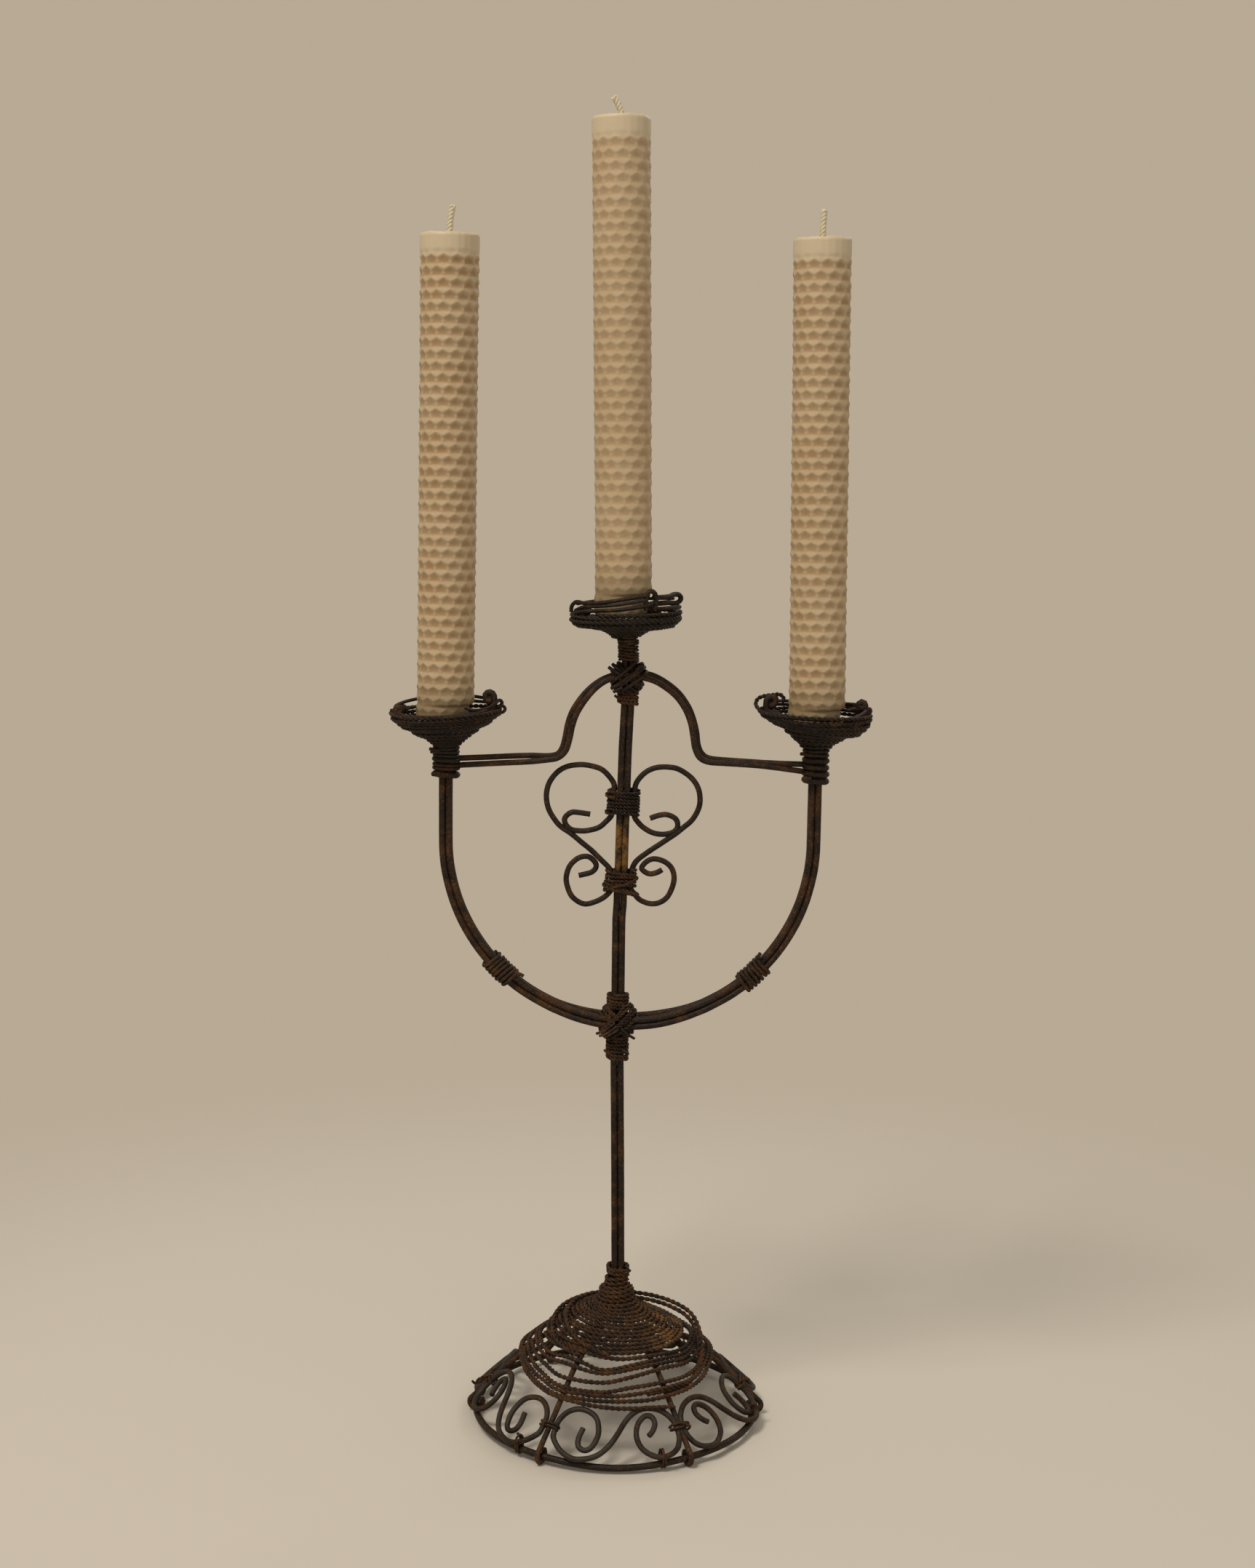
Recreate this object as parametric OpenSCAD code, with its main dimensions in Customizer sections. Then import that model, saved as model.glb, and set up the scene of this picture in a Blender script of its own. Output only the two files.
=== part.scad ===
// Tabletop candelabra of bent and lashed iron wire, holding three rolled wax candles.
// Origin: the middle of the foot ring, on the table. X runs along the arms, Z is up.

/* [Candles] */
// Diameter of a rolled candle
candle_d = 24.2; // [21:0.1:27]
// Length of the wax
candle_len = 205; // [100:1:260]
// How much narrower the squeezed foot of a candle is
foot_squeeze = 2.6; // [1:0.1:4]
// Height of the squeezed foot
foot_h = 12; // [5:0.5:30]
// Diameter of the wick
wick_d = 2; // [1.4:0.1:3]
// Bare wick above the wax
wick_out = 9; // [4:0.5:15]
// Lean of the left, centre and right candles
candle_leans = [0.5, -1, -0.8]; // [-2:0.1:2]
// Clearance under a seated candle
seat_gap = 0.3; // [0.1:0.05:0.6]

/* [Rods] */
// Diameter of the rods in the stem and the arms
rod_d = 2.8; // [2.2:0.1:3.4]
// Diameter of the two arch rods
arch_rod_d = 2.5; // [2:0.1:3]
// Diameter of the heart wires
heart_wire_d = 2.4; // [1.8:0.1:3]
// Diameter of the leg wires
leg_wire_d = 2.4; // [1.8:0.1:3]
// Diameter of the base scroll wires
scroll_wire_d = 2.4; // [1.8:0.1:2.8]
// Diameter of the foot ring rod
ring_rod_d = 2.9; // [2.2:0.1:3.6]
// Outer diameter of the twisted wire in the coils
coil_wire_d = 1.9; // [1.4:0.1:2.3]
// Play between pieces that lie against each other
play = 0.1; // [0.05:0.01:0.2]

/* [Bindings] */
// Diameter of the wire round the necks under the side cups
neck_wire_d = 2.3; // [1.8:0.1:2.8]
// Turns round each of those necks
neck_turns = 6; // [5:1:8]
// Diameter of the binding wire on the stem
binding_wire_d = 1.5; // [1:0.1:1.9]
// Diameter of the wire of the arm bindings
arm_binding_wire_d = 1.3; // [0.9:0.1:1.8]
// Turns in an arm binding
arm_binding_turns = 9; // [4:1:12]
// Turns in the upper and the lower binding of the heart
heart_binding_turns = 8; // [5:1:9]
// Turns in the collar above the base
collar_turns = 6; // [3:1:10]
// Turns below and above the crossing of arms and stem
crossing_turns = 4; // [2:1:6]
// Diameter of the small ties on the base
tie_wire_d = 1.2; // [0.8:0.1:1.6]

/* [Arms and arch] */
// Half the distance between the side cups
arm_r = 79; // [72:0.5:88]
// Height of the lowest point of the arms
arm_low_z = 179; // [150:1:195]
// How far the arm pair is bent over to the right
arm_shift = 3; // [0:0.5:4]
// Slant at which an arm binding sits, from level
arm_binding_slant = 48; // [35:1:60]
// Top of the side necks, where their ribs spread
side_neck_z = 299; // [292:1:310]
// Radius of the arch over the heart
arch_r = 26.5; // [24:0.5:29]
// Height of the top of the arch
arch_top_z = 330; // [324:1:332]
// Radius of the bend at each shoulder of the arch
arch_bend_r = 4.5; // [3:0.5:6]

/* [Stem and heart] */
// Lower end of the stem rods
stem_low_z = 50; // [46:0.5:54]
// Top of the centre neck, where its ribs spread
stem_neck_z = 346; // [343:1:360]
// Height of the underside of the lower heart binding
heart_low_z = 235; // [226:1:240]
// Rise from the lower to the upper heart binding
heart_rise = 34; // [31:0.5:36]
// Reach of a heart lobe from the stem
heart_reach = 29; // [26:0.5:31]

/* [Cups] */
// Depth of the side cups above their necks
side_cup_depth = 13; // [11:0.5:16]
// Depth of the centre cup above its neck
centre_cup_depth = 11.5; // [10:0.5:14]
// Radius of the curl at the end of a rib
curl_r = 2.6; // [2.5:0.1:3.2]
// Gap between a candle and the curled rib ends
curl_gap = 2.9; // [1.5:0.1:6]

/* [Base] */
// Radius of the foot ring
ring_r = 62; // [56:0.5:66]
// Height of the leg tops against the stem
leg_top_z = 60; // [58:0.5:62]
// Slant of the lower legs from level
leg_slant = 43.5; // [41:0.5:46]
// Radius at which the legs become straight
knee_r = 36; // [33:0.5:38]
// Turns in the tight coil over the legs
hood_turns = 19; // [12:1:19]
// How far below the coil each of the three loose turns lies, down the slope at the sides
loose_steps = [6.8, 9.8, 12.9]; // [6:0.1:14]
// How far each loose turn tips down to the front
loose_tilts = [3.5, 4, 4.8]; // [3:0.1:5]
// Gap between a scroll and the legs on both sides of it
scroll_gap = 0.4; // [0.3:0.05:2]

/* [Hidden] */
$fn = 48;
legs = 6;
iron = "#3a2c22";
rust = "#5a3a24";
wax = "#d8c6a0";
cotton = "#b8a88c";
rod_r = rod_d / 2;
arch_rod_r = arch_rod_d / 2;
heart_wire_r = heart_wire_d / 2;
leg_wire_r = leg_wire_d / 2;
scroll_wire_r = scroll_wire_d / 2;
coil_wire_r = coil_wire_d / 2;
candle_r = candle_d / 2;
foot_r = (candle_d - foot_squeeze) / 2;

// Four rods stand two by two: their offsets from the middle, and what the bundle needs.
rod_off = rod_r + play / 2;
bundle_half = rod_off + rod_r;
bundle_diag = rod_off * sqrt(2);
bundle_reach = bundle_diag + rod_r;

// Turns of a wrap nearly touch, so their round sides merge into one ribbed sleeve.
wrap_step = 0.96;
binding_pitch = binding_wire_d * wrap_step;
neck_pitch = neck_wire_d + play / 2;
neck_h = neck_turns * neck_pitch;
neck_mid_z = side_neck_z - neck_h / 2;
heart_binding_h = binding_wire_d + (heart_binding_turns - 1) * binding_pitch;
heart_up_z = heart_low_z + heart_rise;
heart_seat = bundle_half + play + heart_wire_r;
heart_top_z = heart_up_z + heart_binding_h;

// A cup's rib: shares of its reach and its depth, from the neck to the rim.
side_bowl = [[0, 0], [0.07, 0.2], [0.25, 0.38], [0.45, 0.51], [0.66, 0.65], [0.86, 0.82], [1, 1.08]];
centre_bowl = [[0, 0], [0.06, 0.21], [0.24, 0.47], [0.45, 0.62], [0.73, 0.72], [0.91, 0.84], [1, 1.06]];
cup_r = candle_r + curl_gap + rod_r + 2 * curl_r;
rib_inset = 0.35;
cup_reach = cup_r - bundle_diag - rib_inset;
curl_rise = 1.08;
curl_lift = 1.2;
cup_coil_start = coil_wire_d * 1.26;
cup_x = [arm_shift - arm_r, 0, arm_shift + arm_r];
side_seat_z = side_neck_z + seat_rise(side_bowl, side_cup_depth);
centre_seat_z = stem_neck_z + seat_rise(centre_bowl, centre_cup_depth);

// The arms are a half circle with upright ends.
arm_z = arm_low_z + arm_r;
arm_spread_y = bundle_half + play + rod_r;
arm_wide_turn = 7;
arm_narrow_turn = 26;

// The arch stands on the stem, one rod in front and one behind, and ends in the side necks.
arch_z = arch_top_z - arch_r;
arch_y = bundle_half + play + arch_rod_r;
arch_end_x = arm_r - bundle_half - 3 * play;
arch_end_apart = 0.7;
arch_end_dz = arch_rod_r + arch_end_apart / 2;
arch_run_rise = 2.2;
arch_run_z = neck_mid_z + arch_run_rise;
arch_bend_x = arch_r + arch_bend_r;
neck_ring_r = bundle_reach + play + neck_wire_d / 2;
neck_slot_spare = 7;
neck_slot = asin((arch_rod_r + play) / neck_ring_r) + neck_slot_spare;

// Crossed turns run in pairs, each this far from the middle, and clear the corners between the bundles.
lash_apart = binding_wire_d / 2 + play;
// The arms curve up from the crossing and the arch down from its top, so both count as deeper there.
crossing_half = bundle_half + 0.5;
crossing_clear = lash_clear(crossing_half) + 2.5;
crossing_wrap_h = binding_wire_d + (crossing_turns - 1) * binding_pitch;
arch_half_h = arch_rod_r + 1.3;
arch_clear = lash_clear(max(bundle_half, arch_half_h)) + 0.6;
arch_wrap_turns = 4;
arch_wrap_h = binding_wire_d + (arch_wrap_turns - 1) * binding_pitch;

// Each leg ends in an eye bent round the foot ring, and the eyes stand on the table.
eye_r = ring_rod_d / 2 + leg_wire_r + 2 * play;
ring_z = eye_r + leg_wire_r;
leg_top_r = bundle_reach + play + leg_wire_r;
eye_out = [ring_r + eye_r * sin(leg_slant), ring_z + eye_r * cos(leg_slant)];
knee_z = eye_out[1] + (eye_out[0] - knee_r) * tan(leg_slant);
leg_bow = [[0, 0], [0, 0.11], [0.04, 0.21], [0.14, 0.28], [0.3, 0.36], [0.47, 0.47], [0.66, 0.63], [0.84, 0.82]];
leg_lay = leg_wire_r + coil_wire_r + play;
hood_run = coil_wire_r + (hood_turns - 1) * coil_wire_d * wrap_step;

// A scroll: its radius at each angle round the eye of the scroll, as shares of its reach.
scroll_eye = 0.63;
scroll_radii = [[-302, 0.1], [-275, 0.16], [-262, 0.25], [-240, 0.3], [-180, 0.34], [-90, 0.385],
    [60, 0.36], [106, 0.4], [135, 0.47], [158, 0.54], [180, 0.63]];
scroll_step = 23;
scroll_low = 0.385;

// A scroll fills its panel from leg to leg, and its low bend lies over the foot ring.
scroll_side = scroll_wire_r + leg_wire_r + scroll_gap;
scroll_drop = scroll_low * cos(leg_slant);
scroll_over = 0.26;
scroll_mid_r = (ring_r + scroll_over + scroll_drop * scroll_side) / (1 + scroll_drop * PI / legs);
scroll_reach = scroll_mid_r * PI / legs - scroll_side;

// ---- Curves ----

function unit(v) = v / norm(v);
function flip(points) = [for (i = [len(points) - 1:-1:0]) points[i]];
function spaced(a, b, n) = [for (i = [0:n]) a + (b - a) * i / n];
function ease(t) = t <= 0 ? 0 : t >= 1 ? 1 : t * t * (3 - 2 * t);

// Points on an arc in a plane, from angle a to angle b
function arc(centre, r, a, b, n) = [for (t = spaced(a, b, n)) centre + r * [cos(t), sin(t)]];

// Direction of a path at point i
function heading(path, i) =
    let (n = len(path) - 1)
    i == 0 ? unit(4 * path[1] - 3 * path[0] - path[2])
    : i == n ? unit(3 * path[n] - 4 * path[n - 1] + path[n - 2])
    : unit(path[i + 1] - path[i - 1]);

// A smooth curve through points, with n steps between two of them
function curve(p, n) = concat(
    [
        for (i = [0:len(p) - 2], k = [0:n - 1])
            let (t = k / n, a = p[max(i - 1, 0)], b = p[i], c = p[i + 1], d = p[min(i + 2, len(p) - 1)])
            (2 * b + (c - a) * t + (2 * a - 5 * b + 4 * c - d) * t * t + (3 * b - a - 3 * c + d) * t * t * t) / 2
    ],
    [p[len(p) - 1]]
);

// The same flat path moved to its left by a distance
function beside(path, off) = [
    for (i = [0:len(path) - 1]) let (t = heading(path, i)) path[i] + off * [-t[1], t[0]]
];

// The point a given distance along a path
function along(path, dist, i = 0) =
    let (step = norm(path[i + 1] - path[i]))
    dist <= step || i == len(path) - 2
        ? path[i] + (path[i + 1] - path[i]) * dist / step
        : along(path, dist - step, i + 1);

function path_length(path, i = 0) =
    i >= len(path) - 1 ? 0 : norm(path[i + 1] - path[i]) + path_length(path, i + 1);

// A round wire swept along a path; side is a direction that the path never takes.
module wire(path, r, side = [0, 1, 0], sides = 8, closed = false) {
    n = len(path);
    rings = [
        for (i = [0:n - 1])
            let (
                t = closed ? unit(path[(i + 1) % n] - path[(i + n - 1) % n]) : heading(path, i),
                u = unit(side - (side * t) * t),
                v = cross(t, u)
            )
            for (k = [0:sides - 1]) path[i] + r * (cos(360 * k / sides) * u + sin(360 * k / sides) * v)
    ];
    skin = [
        for (i = [0:closed ? n - 1 : n - 2], k = [0:sides - 1])
            let (a = i * sides, b = ((i + 1) % n) * sides, m = (k + 1) % sides)
            each [[a + m, a + k, b + k], [a + m, b + k, b + m]]
    ];
    ends = closed ? [] : [
        [for (k = [0:sides - 1]) k],
        [for (k = [sides - 1:-1:0]) (n - 1) * sides + k]
    ];
    polyhedron(points = rings, faces = concat(skin, ends), convexity = 10);
}

// A closed turn of wire round the Z axis
module turn_of_wire(r, wire_d, angle = 360) {
    rotate_extrude(angle = angle) translate([r, 0]) circle(d = wire_d);
}

// Turns wound side by side round the Z axis, upwards from z = 0
module wrap(turns, inner_r, wire_d) {
    rotate_extrude()
        for (i = [0:turns - 1])
            translate([inner_r + wire_d / 2, wire_d / 2 + i * wire_d * wrap_step]) circle(d = wire_d);
}

// Turns wound along a flat path of radius and height
module wound_cone(path, turns, wire_d, start) {
    rotate_extrude()
        for (i = [0:turns - 1])
            translate(along(path, start + i * wire_d * wrap_step)) circle(d = wire_d);
}

// ---- Base ----

function leg_upper() = [
    for (s = leg_bow) [leg_top_r + (knee_r - leg_top_r) * s[0], leg_top_z + (knee_z - leg_top_z) * s[1]]
];
function leg_profile() = concat(
    leg_upper(),
    [[knee_r, knee_z]],
    arc([ring_r, ring_z], eye_r, 90 - leg_slant, -225, 9)
);

// The line on which coils lie over the legs
function hood_profile() = beside(concat(leg_upper(), [[knee_r, knee_z], eye_out]), leg_lay);

function on_panel(x, down) =
    let (r = scroll_mid_r + down * cos(leg_slant), a = x / scroll_mid_r * 180 / PI)
    [r * cos(a), r * sin(a), eye_out[1] + (eye_out[0] - r) * tan(leg_slant)];

function scroll_half() = [
    for (a = [180:-scroll_step:-302])
        let (r = lookup(a, scroll_radii) * scroll_reach)
        [scroll_eye * scroll_reach + r * cos(a), r * sin(a)]
];
function scroll_path() = [
    for (p = concat(flip(scroll_half()), [for (q = scroll_half()) if (norm(q) > 1) -q])) on_panel(p[0], -p[1])
];

module foot_ring() {
    color(iron) translate([0, 0, ring_z]) turn_of_wire(ring_r, ring_rod_d);
}

module leg(k) {
    color(iron) rotate([0, 0, 360 * k / legs]) wire([for (p = leg_profile()) [p[0], 0, p[1]]], leg_wire_r);
}

module hood_coil() {
    color(rust) wound_cone(hood_profile(), hood_turns, coil_wire_d, coil_wire_r);
}

// A loose turn lies on all six legs, lower in front than behind.
module loose_turn(k) {
    r = along(hood_profile(), hood_run + loose_steps[k])[0];
    tilt = loose_tilts[k];
    e = tan(tilt) / tan(leg_slant);
    z = lookup(r, hood_profile()) + play;
    color(iron)
        translate([0, 0, z]) rotate([tilt, 0, 0])
            translate([0, -r * e / (1 - e * e) / cos(tilt), 0]) turn_of_wire(r * (1 + e * e), coil_wire_d);
}

// The end of the coil has sprung clear of the hood on the right.
// Each point is how far down and how far out it lies, as shares of the coil's length, and its angle.
module sprung_wire() {
    lifts = [[0.266, 0, 58], [0.355, 0.021, 51], [0.474, 0.053, 42], [0.651, 0.092, 31], [0.829, 0.118, 20],
        [1.007, 0.121, 11], [1.155, 0.083, 4], [1.243, 0.036, 0]];
    path = [
        for (s = lifts)
            let (p = along(beside(hood_profile(), coil_wire_d + play + s[1] * hood_run), s[0] * hood_run))
            [p[0] * cos(s[2]), p[0] * sin(s[2]), p[1]]
    ];
    color(rust) wire(curve(path, 3), coil_wire_r, side = [1, 0.7, 1]);
}

module scroll(k) {
    color(iron) rotate([0, 0, 360 * (k + 0.5) / legs]) wire(scroll_path(), scroll_wire_r, side = [1, 0, 1]);
}

// One tie for each scroll, round its low bend and the foot ring
module ring_ties() {
    low = on_panel(0, scroll_reach * scroll_low);
    mid = ([low[0], low[2]] + [ring_r, ring_z]) / 2;
    gap = norm([low[0], low[2]] - [ring_r, ring_z]);
    r = (gap + ring_rod_d / 2 + scroll_wire_r + tie_wire_d) / 2 + play * 2;
    color(rust)
        for (k = [0:legs - 1])
            rotate([0, 0, 360 * (k + 0.5) / legs + scroll_eye * scroll_reach / scroll_mid_r * 180 / PI])
                translate([mid[0], 0, mid[1]]) rotate([90, 0, 0]) turn_of_wire(r, tie_wire_d);
}

// One tie for each leg, round the leg and the scroll on either side of it
module leg_ties() {
    side = scroll_mid_r * sin(180 / legs - scroll_reach / scroll_mid_r * 180 / PI);
    r = side + scroll_wire_r + tie_wire_d / 2 + 2 * play;
    p = on_panel(0, 0);
    color(rust)
        for (k = [0:legs - 1])
            rotate([0, 0, 360 * k / legs])
                translate(p) rotate([0, 90 + leg_slant, 0]) turn_of_wire(r, tie_wire_d);
}

// ---- Stem, heart and arms ----

function rib_profile(bowl, depth) = concat(
    [for (s = bowl) [bundle_diag + cup_reach * s[0], depth * s[1]]],
    arc([cup_r - curl_r, depth * curl_rise + curl_lift], curl_r, -10, 140, 7)
);

// Corners of a bundle of four rods
corners = [[1, 1], [-1, 1], [-1, -1], [1, -1]];

function spread_rib(corner, bowl, depth, z) = [
    for (p = rib_profile(bowl, depth)) [corner[0] * p[0] / sqrt(2), corner[1] * p[0] / sqrt(2), z + p[1]]
];

module stem_rod(k) {
    c = corners[k];
    path = concat(
        [[c[0] * rod_off, c[1] * rod_off, stem_low_z]],
        spread_rib(c, centre_bowl, centre_cup_depth, stem_neck_z)
    );
    color(iron) wire(path, rod_r, side = [c[1], -c[0], 0]);
}

// Right half of an arm rod, from the lowest point out to the curled rib end
function arm_half(c) =
    let (
        r = arm_r + c[0] * rod_off,
        low = [
            for (a = concat([2, 5], spaced(arm_wide_turn, arm_narrow_turn, 4), spaced(33, 90, 8)))
                let (wide = 1 - ease((a - arm_wide_turn) / (arm_narrow_turn - arm_wide_turn)))
                [r * sin(a), c[1] * (rod_off + (arm_spread_y - rod_off) * wide), arm_z - r * cos(a)]
        ]
    )
    concat(low, [for (p = spread_rib(c, side_bowl, side_cup_depth, side_neck_z)) p + [arm_r, 0, 0]]);

module arm_rod(k) {
    c = corners[k];
    half = arm_half(c);
    other = [for (p = flip(half)) [-p[0], p[1], p[2]]];
    color(iron) translate([arm_shift, 0, 0]) wire(concat(other, half), rod_r);
}

module arm_binding(side) {
    pitch = arm_binding_wire_d * 1.09;
    step = pitch / arm_r * 180 / PI;
    r = bundle_reach + 2 * play + arm_binding_wire_d / 2;
    color(rust)
        translate([arm_shift, 0, arm_z])
            for (i = [0:arm_binding_turns - 1])
                rotate([0, side * (90 - arm_binding_slant + (i - (arm_binding_turns - 1) / 2) * step), 0])
                    translate([0, 0, -arm_r]) rotate([0, 90, 0]) turn_of_wire(r, arm_binding_wire_d);
}

// A rectangle with rounded corners, as a closed flat path
function soft_box(a, b, r) = [
    for (q = [[1, 1, 0], [-1, 1, 90], [-1, -1, 180], [1, -1, 270]])
        each arc([q[0] * (a - r), q[1] * (b - r)], r, q[2], q[2] + 90, 2)
];

function lash_reach(half) = sqrt(2) * (half + binding_wire_d / 2 + play) + lash_apart;
function lash_clear(half) = (lash_reach(half) + lash_apart) / sqrt(2) + binding_wire_d / 2 + play;

// Crossed turns over a place where two bundles meet: w and h are their half widths, deep the half depth
module crossed_lashing(w, h, deep) {
    a = lash_reach(max(w, h));
    bend = binding_wire_d / 2 + 3 * play;
    for (slant = [1, -1], s = [-1, 1])
        let (b = deep + binding_wire_d / 2 + play + (slant > 0 ? 0 : binding_wire_d + play))
        rotate([0, slant * 45, 0])
            translate([0, 0, s * lash_apart])
                wire([for (p = soft_box(a, b, bend)) [p[0], p[1], 0]], binding_wire_d / 2,
                    side = [0, 0, 1], sides = 6, closed = true);
}

module stem_collar() {
    color(rust) translate([0, 0, leg_top_z + play * 2]) wrap(collar_turns, bundle_reach + play, binding_wire_d);
}

module crossing_wrap_lower() {
    color(rust)
        translate([0, 0, arm_low_z - crossing_clear - crossing_wrap_h])
            wrap(crossing_turns, bundle_reach + play, binding_wire_d);
}

module crossing_wrap_upper() {
    color(rust)
        translate([0, 0, arm_low_z + crossing_clear]) wrap(crossing_turns, bundle_reach + play, binding_wire_d);
}

module crossing_lashing() {
    color(rust)
        translate([0, 0, arm_low_z]) crossed_lashing(bundle_half, crossing_half, arm_spread_y + rod_r);
}

// ---- Heart ----

// Out from the seat on the stem and up from a binding's edge, as shares of the reach
curl_points = [[0.259, 0.007], [0.393, 0.062], [0.514, 0.062], [0.603, 0.003], [0.624, -0.083],
    [0.569, -0.152], [0.445, -0.186], [0.307, -0.19], [0.169, -0.159], [0.059, -0.1], [0.007, -0.034]];
// Out as a share of the reach, up as a share of the way from binding to binding
lobe_points = [[0.03, 1.06], [0.1, 1.14], [0.2, 1.21], [0.35, 1.26], [0.52, 1.27], [0.68, 1.24], [0.86, 1.13],
    [0.96, 1], [1, 0.86], [0.97, 0.73], [0.88, 0.61], [0.76, 0.52], [0.64, 0.44], [0.43, 0.32],
    [0.22, 0.2], [0.1, 0.12], [0.03, 0.06]];
tail_points = [[0.017, -0.059], [0.1, -0.128], [0.269, -0.162], [0.428, -0.138], [0.548, -0.034],
    [0.617, 0.131], [0.624, 0.286], [0.569, 0.421], [0.459, 0.497], [0.334, 0.51], [0.238, 0.469],
    [0.19, 0.403], [0.203, 0.338], [0.283, 0.307], [0.376, 0.328], [0.445, 0.379]];

function heart_path() =
    let (
        rise = heart_rise,
        low_top = heart_low_z + heart_binding_h,
        curl = [for (p = curl_points) [p[0] * heart_reach, heart_up_z + p[1] * heart_reach]],
        lobe = [for (p = lobe_points) [p[0] * heart_reach, low_top + rise * p[1]]],
        tail = [for (p = tail_points) [p[0] * heart_reach, heart_low_z + p[1] * heart_reach]]
    )
    concat(curl, [[0, heart_up_z], [0, heart_top_z]], lobe, [[0, low_top], [0, heart_low_z]], tail);

module heart_wire(side) {
    color(iron) wire([for (p = heart_path()) [side * (heart_seat + p[0]), 0, p[1]]], heart_wire_r);
}

module heart_binding(z) {
    color(rust) translate([0, 0, z]) wrap(heart_binding_turns, heart_seat + heart_wire_r + play, binding_wire_d);
}

// ---- Arch ----

// Right half of an arch rod, from the top out to the side neck; side is -1 in front, 1 behind
function arch_half(side) =
    let (
        dome = arc([0, arch_z], arch_r, 90, 0, 9),
        bend = arc([arch_bend_x, arch_run_z + arch_bend_r], arch_bend_r, 180, 270, 4),
        flat = concat(dome, bend, [[arch_end_x, neck_mid_z + side * arch_end_dz]])
    )
    [
        for (p = flat)
            let (inward = max(0, (p[0] - arch_y * 2) / (arch_end_x - arch_y * 2)))
            [p[0], side * arch_y * (1 - inward), p[1]]
    ];

module arch_rod(side) {
    half = arch_half(side);
    other = [for (i = [len(half) - 1:-1:1]) [-half[i][0], half[i][1], half[i][2]]];
    color(iron) translate([arm_shift, 0, 0]) wire(concat(other, half), arch_rod_r);
}

module arch_lashing() {
    color(rust)
        translate([0, 0, arch_top_z]) crossed_lashing(bundle_half, arch_half_h, arch_y + arch_rod_r);
}

module arch_wrap() {
    color(rust)
        translate([0, 0, arch_top_z - arch_clear - arch_wrap_h])
            wrap(arch_wrap_turns, bundle_reach + play, binding_wire_d);
}

// ---- Cups ----

// The turns of a side neck leave a slot for the arch rods between them.
module neck_binding(side) {
    color(rust)
        translate([arm_shift + side * arm_r, 0, side_neck_z - neck_h])
            for (i = [0:neck_turns - 1])
                let (z = (i + 0.5) * neck_pitch, free = arch_end_dz + arch_rod_r + neck_wire_d / 2 + play)
                translate([0, 0, z])
                    if (abs(z - neck_h / 2) < free)
                        rotate([0, 0, (side > 0 ? 180 : 0) + neck_slot])
                            turn_of_wire(neck_ring_r, neck_wire_d, 360 - 2 * neck_slot);
                    else
                        turn_of_wire(neck_ring_r, neck_wire_d);
}

module neck_binding_centre() {
    low = arch_top_z + arch_clear;
    turns = floor((stem_neck_z - low - binding_wire_d) / binding_pitch);
    color(rust) translate([0, 0, low]) wrap(turns, bundle_reach + play, binding_wire_d);
}

// Coils lie under the ribs of a cup.
module cup_coil(bowl, depth, z, x) {
    ribs = [for (s = bowl) [bundle_diag + cup_reach * s[0], depth * s[1]]];
    path = beside(ribs, -(rod_r + coil_wire_r + play));
    turns = floor((path_length(path) - cup_coil_start) / (coil_wire_d * wrap_step)) + 1;
    color(rust) translate([x, 0, z]) wound_cone(path, turns, coil_wire_d, cup_coil_start);
}

// The rim wire is threaded through the curled rib ends.
module rim_wire(depth, z, x) {
    color(iron)
        translate([x, 0, z + depth * curl_rise + curl_lift]) turn_of_wire(cup_r - curl_r, 2 * (curl_r - rod_r - 3 * play));
}

// ---- Candles ----

function rib_height(bowl, depth, r) = lookup((r - bundle_diag) / cup_reach, bowl) * depth;
function seat_rise(bowl, depth) =
    let (slope = atan(rib_height(bowl, depth, foot_r) - rib_height(bowl, depth, foot_r - 1)))
    rib_height(bowl, depth, foot_r) + rod_r / cos(slope) + seat_gap;

module candle(x, z, lean) {
    bore_r = wick_d / 2 + play / 2;
    color(wax)
        translate([x, 0, z]) rotate([0, lean, 0])
            rotate_extrude()
                polygon([[bore_r, 0], [foot_r, 0], [foot_r, foot_h / 2], [candle_r, foot_h],
                    [candle_r, candle_len], [bore_r, candle_len]]);
}

module wick(x, z, lean, bend) {
    top = candle_len;
    color(cotton)
        translate([x, 0, z]) rotate([0, lean, 0])
            wire([[0, 0, 1], [0, 0, top + 1], [bend * 0.1, 0, top + wick_out * 0.4],
                [bend * 0.45, 0, top + wick_out * 0.7], [bend, 0, top + wick_out]], wick_d / 2);
}

foot_ring();
leg(0);  // leg_1
leg(1);  // leg_2
leg(2);  // leg_3
leg(3);  // leg_4
leg(4);  // leg_5
leg(5);  // leg_6
hood_coil();
loose_turn(0);  // loose_turn_1
loose_turn(1);  // loose_turn_2
loose_turn(2);  // loose_turn_3
sprung_wire();
scroll(0);  // scroll_1
scroll(1);  // scroll_2
scroll(2);  // scroll_3
scroll(3);  // scroll_4
scroll(4);  // scroll_5
scroll(5);  // scroll_6
ring_ties();
leg_ties();
stem_collar();
stem_rod(0);  // stem_rod_1
stem_rod(1);  // stem_rod_2
stem_rod(2);  // stem_rod_3
stem_rod(3);  // stem_rod_4
arm_rod(0);  // arm_rod_1
arm_rod(1);  // arm_rod_2
arm_rod(2);  // arm_rod_3
arm_rod(3);  // arm_rod_4
arm_binding(1);  // arm_binding_left
arm_binding(-1);  // arm_binding_right
crossing_wrap_lower();
crossing_wrap_upper();
crossing_lashing();
heart_wire(-1);  // heart_wire_left
heart_wire(1);  // heart_wire_right
heart_binding(heart_low_z);  // heart_binding_lower
heart_binding(heart_up_z);  // heart_binding_upper
arch_rod(-1);  // arch_rod_front
arch_rod(1);  // arch_rod_rear
arch_lashing();
arch_wrap();
neck_binding(-1);  // neck_binding_left
neck_binding(1);  // neck_binding_right
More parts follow.
